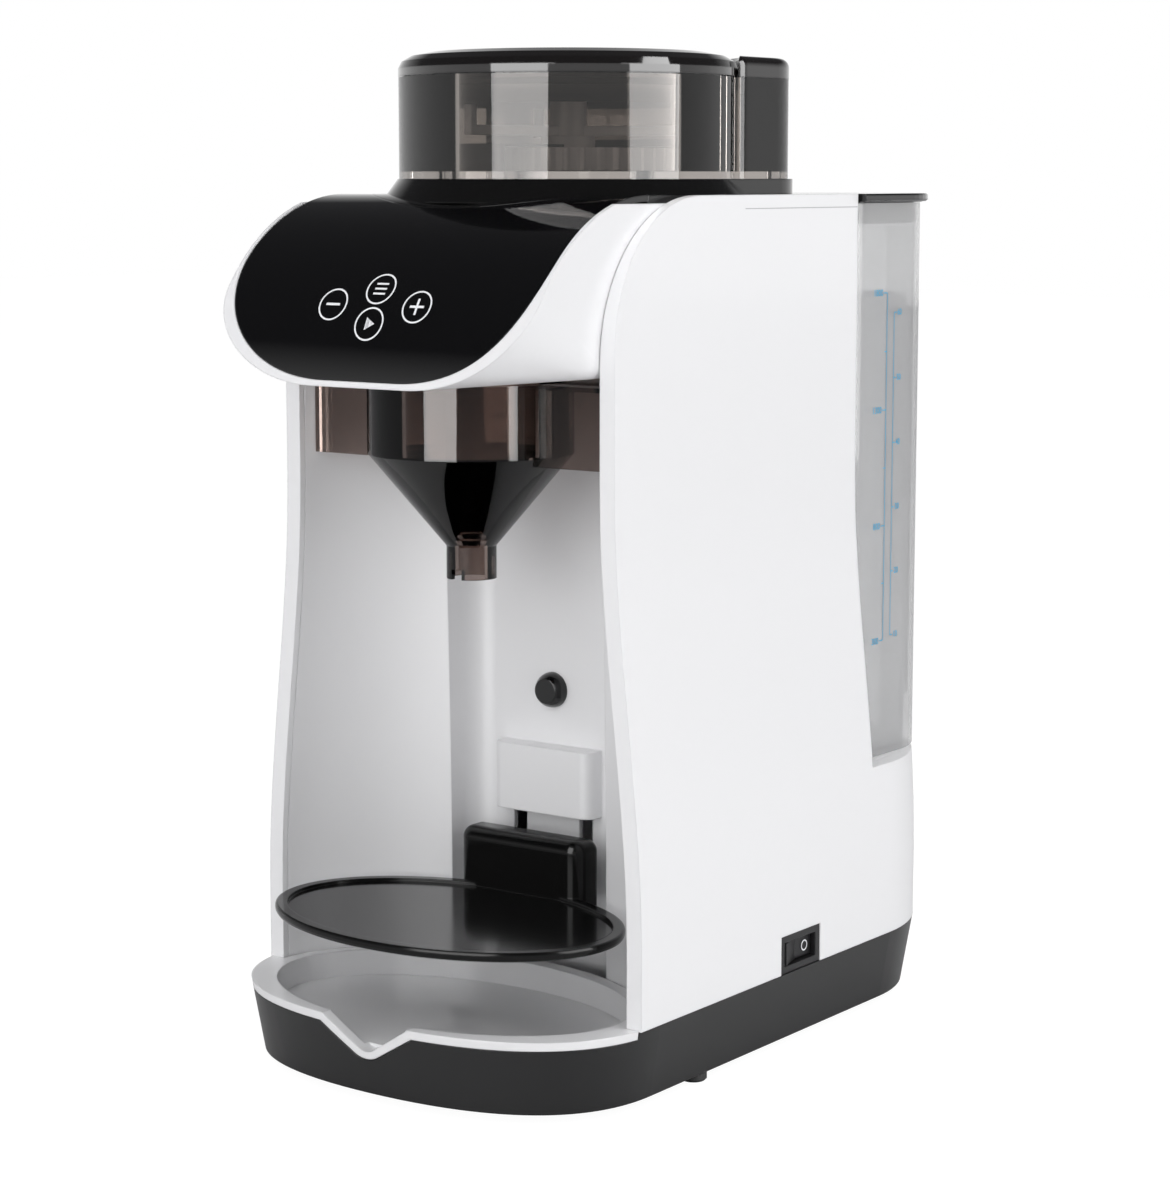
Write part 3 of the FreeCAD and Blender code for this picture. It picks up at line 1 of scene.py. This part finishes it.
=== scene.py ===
import bpy, bmesh, json, math
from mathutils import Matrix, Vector


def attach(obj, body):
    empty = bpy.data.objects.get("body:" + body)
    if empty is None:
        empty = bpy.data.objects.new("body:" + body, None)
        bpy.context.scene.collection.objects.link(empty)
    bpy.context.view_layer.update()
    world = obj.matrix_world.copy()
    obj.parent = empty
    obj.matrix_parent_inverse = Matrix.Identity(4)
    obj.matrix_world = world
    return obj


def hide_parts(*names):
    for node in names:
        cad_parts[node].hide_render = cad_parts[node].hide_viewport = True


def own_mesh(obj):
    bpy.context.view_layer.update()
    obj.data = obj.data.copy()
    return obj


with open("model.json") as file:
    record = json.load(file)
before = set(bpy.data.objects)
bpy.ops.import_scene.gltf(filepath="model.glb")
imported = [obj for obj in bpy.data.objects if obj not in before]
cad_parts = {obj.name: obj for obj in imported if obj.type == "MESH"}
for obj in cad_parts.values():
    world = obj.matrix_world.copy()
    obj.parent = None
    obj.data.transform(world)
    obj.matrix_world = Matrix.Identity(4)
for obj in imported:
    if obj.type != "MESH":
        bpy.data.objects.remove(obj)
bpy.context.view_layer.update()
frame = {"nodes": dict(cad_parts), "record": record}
print("frame loaded")

mm = 0.001
drumY, drumZ, drumR = -0.074, 0.2685, 0.0827  # the touch face is a slice of this drum
hopperY = -0.0225
chassis, tank = "chassis", "tank"
collection = bpy.context.scene.collection


# shader helpers

def newMaterial(name):
    mat = bpy.data.materials.new(name)
    mat.use_nodes = True
    nodes = mat.node_tree.nodes
    return mat, nodes, mat.node_tree.links, nodes["Principled BSDF"]


def coloured(nodes, kind, colour):
    # a shader of this kind with one plain colour
    shader = nodes.new(kind)
    shader.inputs["Color"].default_value = (*colour, 1)
    return shader.outputs[0]


def mixed(nodes, links, share, first, second):
    # share is a number, or the output of a node
    mix = nodes.new("ShaderNodeMixShader")
    if isinstance(share, float):
        mix.inputs["Fac"].default_value = share
    else:
        links.new(share, mix.inputs["Fac"])
    links.new(first, mix.inputs[1])
    links.new(second, mix.inputs[2])
    return mix.outputs[0]


def times(nodes, links, value, factor):
    product = nodes.new("ShaderNodeMath")
    product.operation = "MULTIPLY"
    product.inputs[1].default_value = factor
    links.new(value, product.inputs[0])
    return product.outputs[0]


# materials

finish = {"coatRough": 0.03, "edgeRadius": 0.9 * mm, "edgeSamples": 4, "grainDetail": 3,
          "grainDepth": 0.2 * mm}


def plastic(name, colour, rough, coat=0.0, grain=0.0, grainSize=900, specular=0.5):
    # opaque plastic; grain is the strength of the fine mould texture
    mat, nodes, links, bsdf = newMaterial(name)
    bsdf.inputs["Base Color"].default_value = (*colour, 1)
    bsdf.inputs["Roughness"].default_value = rough
    bsdf.inputs["Coat Weight"].default_value = coat
    bsdf.inputs["Coat Roughness"].default_value = finish["coatRough"]
    bsdf.inputs["Specular IOR Level"].default_value = specular
    rounded = nodes.new("ShaderNodeBevel")
    rounded.samples = finish["edgeSamples"]
    rounded.inputs["Radius"].default_value = finish["edgeRadius"]
    links.new(rounded.outputs["Normal"], bsdf.inputs["Normal"])
    if grain:
        coords = nodes.new("ShaderNodeTexCoord")
        noise = nodes.new("ShaderNodeTexNoise")
        noise.inputs["Scale"].default_value = grainSize
        noise.inputs["Detail"].default_value = finish["grainDetail"]
        bump = nodes.new("ShaderNodeBump")
        bump.inputs["Strength"].default_value = grain
        bump.inputs["Distance"].default_value = finish["grainDepth"]
        links.new(coords.outputs["Object"], noise.inputs["Vector"])
        links.new(noise.outputs["Fac"], bump.inputs["Height"])
        links.new(rounded.outputs["Normal"], bump.inputs["Normal"])
        links.new(bump.outputs["Normal"], bsdf.inputs["Normal"])
    return mat


clearWall = {"rough": 0.025, "ior": 1.5, "scatter": (0.93, 0.93, 0.935),
             "passedOn": (0.95, 0.95, 0.955), "passedShare": 0.5}


def clearPlastic(name, tint, shine=1.0, haze=0.0):
    # thin clear wall: light goes straight through, the skin mirrors by angle,
    # and haze is the share of light that the wall scatters
    mat, nodes, links, bsdf = newMaterial(name)
    nodes.remove(bsdf)
    wall = coloured(nodes, "ShaderNodeBsdfTransparent", tint)
    if haze:
        scatter = coloured(nodes, "ShaderNodeBsdfDiffuse", clearWall["scatter"])
        passedOn = coloured(nodes, "ShaderNodeBsdfTranslucent", clearWall["passedOn"])
        milk = mixed(nodes, links, clearWall["passedShare"], scatter, passedOn)
        wall = mixed(nodes, links, haze, wall, milk)
    gloss = nodes.new("ShaderNodeBsdfGlossy")
    gloss.inputs["Roughness"].default_value = clearWall["rough"]
    fresnel = nodes.new("ShaderNodeFresnel")
    fresnel.inputs["IOR"].default_value = clearWall["ior"]
    strength = times(nodes, links, fresnel.outputs[0], shine)
    surface = mixed(nodes, links, strength, wall, gloss.outputs[0])
    links.new(surface, nodes["Material Output"].inputs["Surface"])
    return mat


def metal(name, colour, rough):
    mat, nodes, links, bsdf = newMaterial(name)
    bsdf.inputs["Base Color"].default_value = (*colour, 1)
    bsdf.inputs["Metallic"].default_value = 1
    bsdf.inputs["Roughness"].default_value = rough
    return mat


whiteShell = plastic("whiteShell", (0.86, 0.86, 0.87), 0.28, coat=0.25, grain=0.04, grainSize=1400)
whiteInside = plastic("whiteInside", (0.82, 0.82, 0.83), 0.42, grain=0.05, grainSize=1600)
trayWhite = plastic("trayWhite", (0.84, 0.84, 0.85), 0.25, coat=0.3)
pianoBlack = plastic("pianoBlack", (0.003, 0.003, 0.0035), 0.07, coat=0.45, specular=0.3)
deckBlack = plastic("deckBlack", (0.004, 0.004, 0.004), 0.12, coat=0.4, specular=0.3)
platformBlack = plastic("platformBlack", (0.003, 0.003, 0.003), 0.14, specular=0.2)
satinBlack = plastic("satinBlack", (0.006, 0.006, 0.0065), 0.36, grain=0.10, grainSize=1800,
                     specular=0.4)
switchBlack = plastic("switchBlack", (0.008, 0.008, 0.009), 0.38, grain=0.08, specular=0.4)
rubberBlack = plastic("rubberBlack", (0.014, 0.014, 0.014), 0.7, grain=0.15)
smokeLid = plastic("smokeLid", (0.008, 0.007, 0.007), 0.05, coat=0.6, specular=0.35)
printWhite = plastic("printWhite", (0.85, 0.86, 0.88), 0.4)
printBlue = plastic("printBlue", (0.02, 0.27, 0.46), 0.45)
gapGrey = plastic("gapGrey", (0.42, 0.42, 0.43), 0.6)
hoseGrey = plastic("hoseGrey", (0.62, 0.62, 0.60), 0.35)
boardGreen = plastic("boardGreen", (0.03, 0.16, 0.07), 0.4)
steelBright = metal("steelBright", (0.62, 0.62, 0.63), 0.28)
smokeClear = clearPlastic("smokeClear", (0.60, 0.575, 0.555))
smokeBrown = clearPlastic("smokeBrown", (0.60, 0.53, 0.50))
tankClear = clearPlastic("tankClear", (0.99, 0.992, 0.994), shine=0.6, haze=0.30)
print("materials made")

slotMaterials = {
    "white_gloss": whiteShell, "white_matte": whiteInside, "black_gloss": pianoBlack,
    "black_plastic": satinBlack, "smoke_dark": smokeLid, "smoke_clear": smokeClear,
    "smoke_brown": smokeBrown, "clear": tankClear, "rubber": rubberBlack, "hose": hoseGrey,
    "steel": steelBright, "circuit_board": boardGreen,
}
nodeMaterials = {"drip_tray": trayWhite, "top_deck": deckBlack, "switch_frame": switchBlack,
                 "switch_rocker": switchBlack, "bottle_platform": platformBlack}
for entry in frame["record"]["subparts"]:
    node = frame["nodes"][entry["node"]]
    mat = nodeMaterials.get(entry["node"], slotMaterials[entry["material_slot"]])
    for matSlot in node.material_slots:
        matSlot.material = mat
print("materials given to the CAD pieces")


# mesh helpers

def skin(bm, loops):
    # walls from each closed loop of corners to the next one
    for lower, upper in zip(loops, loops[1:]):
        for i in range(len(lower)):
            k = (i + 1) % len(lower)
            bm.faces.new((lower[i], lower[k], upper[k], upper[i]))


def closeEnds(bm, loops):
    bm.faces.new(list(reversed(loops[0])))
    bm.faces.new(loops[-1])


def meshPiece(name, bm, mat=None, smooth=False):
    mesh = bpy.data.meshes.new(name)
    bm.to_mesh(mesh)
    bm.free()
    if smooth:
        mesh.shade_smooth()
    if mat:
        mesh.materials.append(mat)
    piece = bpy.data.objects.new(name, mesh)
    collection.objects.link(piece)
    return piece


# printed marks

def printed(name, quads, mat, body):
    # thin print made of four-sided patches
    bm = bmesh.new()
    for quad in quads:
        bm.faces.new([bm.verts.new(spot) for spot in quad])
    bmesh.ops.remove_doubles(bm, verts=bm.verts, dist=1e-7)
    bmesh.ops.recalc_face_normals(bm, faces=bm.faces)
    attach(meshPiece(name, bm, mat), body)


def bar(x0, x1, s0, s1, steps=1):
    # a rectangle, cut into strips where it has to follow a curved wall
    cuts = [s0 + (s1 - s0) * i / steps for i in range(steps + 1)]
    return [((x0, a), (x1, a), (x1, b), (x0, b)) for a, b in zip(cuts, cuts[1:])]


def ring(x, s, inner, outer, steps=56):
    spots = []
    for i in range(steps):
        a, b = 2 * math.pi * i / steps, 2 * math.pi * (i + 1) / steps
        spots.append(tuple((x + r * math.sin(t), s + r * math.cos(t))
                           for r, t in ((inner, a), (outer, a), (outer, b), (inner, b))))
    return spots


# the four touch keys: minus, plus, list and start

touch = {"turn": 30.1, "lift": 0.12 * mm, "side": 20.6 * mm, "upper": 7.3 * mm, "lower": -7.6 * mm,
         "inner": 6.15 * mm, "outer": 6.85 * mm, "stroke": 1.0 * mm, "reach": 3.4 * mm,
         "listRow": 2.2 * mm, "listReach": 2.89 * mm, "listHalf": 0.4 * mm,
         "startBack": -1.7 * mm, "startLength": 4.4 * mm, "startHalf": 2.6 * mm, "startStrips": 6}


def onFace(spot):
    # from the key row's flat layout to the curved face
    x, s = spot
    turn = math.radians(touch["turn"]) + s / drumR
    r = drumR + touch["lift"]
    return (x, drumY - math.cos(turn) * r, drumZ + math.sin(turn) * r)


def plusAndMinus():
    half, reach, side = touch["stroke"] / 2, touch["reach"], touch["side"]
    signs = bar(-side - reach, -side + reach, -half, half)
    signs += bar(side - reach, side + reach, -half, half)
    signs += bar(side - half, side + half, half, reach, 4)
    return signs + bar(side - half, side + half, -reach, -half, 4)


def listSign():
    signs = []
    for row in (-touch["listRow"], 0, touch["listRow"]):
        middle = touch["upper"] + row
        signs += bar(-touch["listReach"], touch["listReach"], middle - touch["listHalf"],
                     middle + touch["listHalf"])
    return signs


def startSign():
    # a triangle, as strips that taper to its tip
    middle, low, strips = touch["lower"], touch["startHalf"], touch["startStrips"]
    signs = []
    for i in range(strips):
        a, b = i / strips, (i + 1) / strips
        x0, x1 = (touch["startBack"] + touch["startLength"] * share for share in (a, b))
        signs.append(((x0, middle - low * (1 - a)), (x1, middle - low * (1 - b) - 1e-6),
                      (x1, middle + low * (1 - b) + 1e-6), (x0, middle + low * (1 - a))))
    return signs


flat = []
for x, s in ((-touch["side"], 0), (touch["side"], 0), (0, touch["upper"]), (0, touch["lower"])):
    flat += ring(x, s, touch["inner"], touch["outer"])
flat += plusAndMinus() + listSign() + startSign()
printed("touchMarks", [[onFace(spot) for spot in quad] for quad in flat], printWhite, chassis)
print("face marks printed")


# the two scales on the tank's right wall, in millilitres and in ounces

scale = {"x": 82.2 * mm, "stroke": 0.5 * mm, "bold": 0.08 * mm, "longTick": 3 * mm,
         "shortTick": 1.8 * mm}
millilitres = {"y": 95.5 * mm, "lowest": 159 * mm, "rise": 150 * mm, "ticks": 7, "first": 300,
               "step": 250, "height": 3.9 * mm, "away": 3.6 * mm}
ounces = {"y": 101.5 * mm, "lowest": 160.5 * mm, "rise": 140 * mm, "ticks": 6, "first": 10,
          "step": 10, "height": 3.6 * mm, "away": 2.6 * mm, "tick": 2 * mm}


def numeral(text, y, z, height, align):
    curve = bpy.data.curves.new("scaleNumber" + text, "FONT")
    curve.body = text
    curve.size = height
    curve.align_x = align
    curve.align_y = "CENTER"
    curve.offset = scale["bold"]
    curve.materials.append(printBlue)
    number = bpy.data.objects.new("scaleNumber" + text, curve)
    collection.objects.link(number)
    number.location = (scale["x"], y, z)
    number.rotation_euler = (math.pi / 2, 0, math.pi / 2)
    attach(number, tank)


def tickHeights(row):
    return [row["lowest"] + row["rise"] * i / (row["ticks"] - 1) for i in range(row["ticks"])]


stroke = scale["stroke"] / 2
flat = []
for row in (millilitres, ounces):
    flat += bar(row["y"] - stroke, row["y"] + stroke, row["lowest"], row["lowest"] + row["rise"])
for i, z in enumerate(tickHeights(millilitres)):
    # every second tick is long and has its number
    numbered = i % 2 == 0
    length = scale["longTick"] if numbered else scale["shortTick"]
    y = millilitres["y"]
    flat += bar(y - length, y - stroke, z - stroke, z + stroke)
    if numbered:
        text = str(millilitres["first"] + millilitres["step"] * i)
        numeral(text, y - millilitres["away"], z, millilitres["height"], "RIGHT")
for i, z in enumerate(tickHeights(ounces)):
    y = ounces["y"]
    flat += bar(y + stroke, y + ounces["tick"], z - stroke, z + stroke)
    numeral(str(ounces["first"] + ounces["step"] * i), y + ounces["away"], z, ounces["height"], "LEFT")
printed("tankScale", [[(scale["x"], *spot) for spot in quad] for quad in flat], printBlue, tank)
print("tank scale printed")


# the fine gap under the top cover's edge, along both sides

gap = {"x": 82.14 * mm, "front": -16 * mm, "rear": 70 * mm, "z": 345.6 * mm, "half": 0.16 * mm}
for side, name in ((-1, "coverGapLeft"), (1, "coverGapRight")):
    flat = bar(gap["front"], gap["rear"], gap["z"] - gap["half"], gap["z"] + gap["half"])
    printed(name, [[(side * gap["x"], *spot) for spot in quad] for quad in flat], gapGrey, chassis)
print("cover gaps drawn")


# the tank lid's rim, which stands out a little past the tank's wall

lidRim = {"half": 85.3 * mm, "front": 72.2 * mm, "rear": 156.0 * mm, "corner": 44 * mm,
          "low": 347.6 * mm, "high": 351.0 * mm, "lowSlope": 1.0 * mm, "lowEdge": 0.8 * mm,
          "highEdge": 0.7 * mm, "steps": 16}


def rimOutline(inset, z):
    # the lid's plan: square at the front, round at the two rear corners
    half, rear = lidRim["half"] - inset, lidRim["rear"] - inset
    corner = lidRim["corner"] - inset
    spots = [(-half, lidRim["front"], z), (half, lidRim["front"], z)]
    for side, start in ((1, 0), (-1, 90)):
        for i in range(lidRim["steps"] + 1):
            turn = math.radians(start + 90 * i / lidRim["steps"])
            spots.append((side * (half - corner) + corner * math.cos(turn),
                          rear - corner + corner * math.sin(turn), z))
    return spots


rimHeights = ((lidRim["lowSlope"], lidRim["low"]), (0, lidRim["low"] + lidRim["lowEdge"]),
              (0, lidRim["high"] - lidRim["highEdge"]), (lidRim["highEdge"], lidRim["high"]))
bm = bmesh.new()
loops = [[bm.verts.new(spot) for spot in rimOutline(inset, z)] for inset, z in rimHeights]
skin(bm, loops)
closeEnds(bm, loops)
rim = meshPiece("tankLidRim", bm, pianoBlack)
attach(rim, "tank_lid")
print("tank lid rim made")


# the hopper lid's plug, a dark band behind the smoked wall under the lid

lidPlug = {"radius": 65.6 * mm, "low": 386.8 * mm, "high": 398.4 * mm, "wall": 1.2 * mm, "steps": 96}
bm = bmesh.new()
loops = []
for z in (lidPlug["low"], lidPlug["high"]):
    turns = [2 * math.pi * i / lidPlug["steps"] for i in range(lidPlug["steps"])]
    loops.append([bm.verts.new((lidPlug["radius"] * math.sin(turn),
                                hopperY + lidPlug["radius"] * math.cos(turn), z)) for turn in turns])
skin(bm, loops)
bmesh.ops.recalc_face_normals(bm, faces=bm.faces)
plug = meshPiece("lidPlug", bm, smokeLid, smooth=True)
thick = plug.modifiers.new("thick", "SOLIDIFY")
thick.thickness = lidPlug["wall"]
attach(plug, "hopper_lid")
print("lid plug made")


# the valve's spring, drawn as a fixed coil at one length; on the machine it shortens as the poppet rises

spring = {"y": 109.5 * mm, "radius": 5 * mm, "wire": 0.5 * mm, "turns": 4, "low": 118.1 * mm,
          "high": 125.7 * mm, "steps": 24, "sides": 8, "keep": 0.7}
hoopCount = spring["turns"] * spring["steps"]
bm = bmesh.new()
hoops = []
for i in range(hoopCount + 1):
    turn = 2 * math.pi * i / spring["steps"]
    rise = spring["low"] + (spring["high"] - spring["low"]) * i / hoopCount
    hoop = []
    for k in range(spring["sides"]):
        lean = 2 * math.pi * k / spring["sides"]
        reach = spring["radius"] + spring["wire"] * math.cos(lean)
        hoop.append(bm.verts.new((reach * math.cos(turn), spring["y"] + reach * math.sin(turn),
                                  rise + spring["wire"] * math.sin(lean))))
    hoops.append(hoop)
skin(bm, hoops)
closeEnds(bm, hoops)
bmesh.ops.recalc_face_normals(bm, faces=bm.faces)
coil = meshPiece("valveCoil", bm, steelBright, smooth=True)
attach(coil, tank)
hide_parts("valve_spring")
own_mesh(coil)
print("valve spring made")


# the off mark on the switch, a ring on the rocker's rear half

offMark = {"x": 92.35 * mm, "y": 17.2 * mm, "z": 41.5 * mm, "inner": 1.75 * mm, "outer": 2.35 * mm,
           "steps": 40}
flat = ring(offMark["y"], offMark["z"], offMark["inner"], offMark["outer"], offMark["steps"])
printed("offMark", [[(offMark["x"], *spot) for spot in quad] for quad in flat], printWhite, "rocker")
print("switch marked")


# studio helpers

def stageMaterial(name, build):
    mat = bpy.data.materials.new(name)
    mat.use_nodes = True
    nodes, links = mat.node_tree.nodes, mat.node_tree.links
    nodes.clear()
    out = nodes.new("ShaderNodeOutputMaterial")
    links.new(build(nodes, links), out.inputs["Surface"])
    return mat


def glowing(nodes, strength):
    glow = nodes.new("ShaderNodeEmission")
    glow.inputs["Color"].default_value = (1, 1, 1, 1)
    glow.inputs["Strength"].default_value = strength
    return glow.outputs[0]


def panel(name, width, height, place, facing, mat):
    # a flat panel whose front looks along facing
    bm = bmesh.new()
    w, h = width / 2, height / 2
    bm.faces.new([bm.verts.new(v) for v in ((-w, -h, 0), (w, -h, 0), (w, h, 0), (-w, h, 0))])
    flatPanel = meshPiece(name, bm, mat)
    flatPanel.location = place
    flatPanel.rotation_euler = Vector(facing).to_track_quat("Z", "Y").to_euler()
    return flatPanel


# the camera stands where the photograph was taken from

shot = {"place": (0.7205, -0.9986, 0.3586), "tilt": 81.983, "turn": 36.11, "lens": 89.77, "sensor": 36}
camera = bpy.data.objects.new("camera", bpy.data.cameras.new("camera"))
collection.objects.link(camera)
camera.location = shot["place"]
camera.rotation_euler = (math.radians(shot["tilt"]), 0, math.radians(shot["turn"]))
camera.data.lens = shot["lens"]
camera.data.sensor_width = shot["sensor"]
bpy.context.scene.camera = camera
bpy.context.scene.view_settings.view_transform = "Standard"
print("camera placed")


# the floor, which the camera sees nearly white with the soft shadow left in it

pale = {"size": 14, "colour": (0.88, 0.88, 0.88), "glow": 1.12, "glowShare": 0.86}


def floorShader(nodes, links):
    lit = coloured(nodes, "ShaderNodeBsdfDiffuse", pale["colour"])
    path = nodes.new("ShaderNodeLightPath")
    share = times(nodes, links, path.outputs["Is Camera Ray"], pale["glowShare"])
    return mixed(nodes, links, share, lit, glowing(nodes, pale["glow"]))


panel("floor", pale["size"], pale["size"], (0, 0, 0), (0, 0, 1), stageMaterial("floorPale", floorShader))
print("floor laid")


# lamps: each softbox has a card beside it that only mirrors see

softboxes = {
    "softRight": {"angle": 59, "distance": 1.5, "z": 0.85, "width": 1.15, "height": 1.7,
                  "power": 12.5, "shine": 8.0},
    "softLeft": {"angle": -32, "distance": 1.5, "z": 0.85, "width": 1.15, "height": 1.7,
                 "power": 10.5, "shine": 8.0},
}
topSoft = {"size": 1.6, "power": 9, "place": (0, -0.2, 1.9)}
centre = Vector((0, 0, 0.2))


def aroundCamera(degrees, distance, height):
    # a place at this angle to the right of the camera, seen from the machine
    turn = math.radians(shot["turn"] + degrees)
    return Vector((math.sin(turn) * distance, -math.cos(turn) * distance, height))


def softLamp(name, width, height, power, place, facing):
    lamp = bpy.data.lights.new(name, "AREA")
    lamp.shape = "RECTANGLE"
    lamp.size = width
    lamp.size_y = height
    lamp.energy = power
    holder = bpy.data.objects.new(name, lamp)
    collection.objects.link(holder)
    holder.location = place
    holder.rotation_euler = Vector(facing).to_track_quat("-Z", "Y").to_euler()
    holder.visible_glossy = False
    holder.visible_transmission = False


for name, light in softboxes.items():
    place = aroundCamera(light["angle"], light["distance"], light["z"])
    facing = centre - place
    softLamp(name, light["width"], light["height"], light["power"], place, facing)
    cardGlow = stageMaterial(name + "Card", lambda nodes, links: glowing(nodes, light["shine"]))
    card = panel(name + "Card", light["width"], light["height"], place, facing, cardGlow)
    card.visible_camera = False
    card.visible_diffuse = False
    card.visible_shadow = False
softLamp("topSoft", topSoft["size"], topSoft["size"], topSoft["power"], topSoft["place"], (0, 0, -1))
print("lamps placed")


# the room: white where the camera looks, lighter low down for everything else;
# mirrors see the white backdrop low down and a dark ceiling above it

roomLight = ((0.0, (0.9, 0.9, 0.9, 1)), (0.34, (0.30, 0.30, 0.31, 1)))
mirrorLight = ((0.06, (1, 1, 1, 1)), (0.42, (0.06, 0.06, 0.063, 1)))


def skyByHeight(nodes, links, height, stops):
    ramp = nodes.new("ShaderNodeValToRGB")
    for element, (position, colour) in zip(ramp.color_ramp.elements, stops):
        element.position = position
        element.color = colour
    sky = nodes.new("ShaderNodeBackground")
    links.new(height, ramp.inputs["Fac"])
    links.new(ramp.outputs["Color"], sky.inputs["Color"])
    return sky.outputs[0]


def buildRoom(nodes, links):
    nodes.clear()
    out = nodes.new("ShaderNodeOutputWorld")
    coords = nodes.new("ShaderNodeTexCoord")
    split = nodes.new("ShaderNodeSeparateXYZ")
    links.new(coords.outputs["Generated"], split.inputs[0])
    room = skyByHeight(nodes, links, split.outputs["Z"], roomLight)
    mirrored = skyByHeight(nodes, links, split.outputs["Z"], mirrorLight)
    backdrop = coloured(nodes, "ShaderNodeBackground", (1, 1, 1))
    path = nodes.new("ShaderNodeLightPath")
    straight = nodes.new("ShaderNodeMath")
    straight.operation = "MAXIMUM"
    links.new(path.outputs["Is Camera Ray"], straight.inputs[0])
    links.new(path.outputs["Is Transmission Ray"], straight.inputs[1])
    unseen = mixed(nodes, links, path.outputs["Is Glossy Ray"], room, mirrored)
    links.new(mixed(nodes, links, straight.outputs[0], unseen, backdrop), out.inputs["Surface"])


world = bpy.data.worlds.new("studio")
bpy.context.scene.world = world
world.use_nodes = True
buildRoom(world.node_tree.nodes, world.node_tree.links)
print("studio ready")
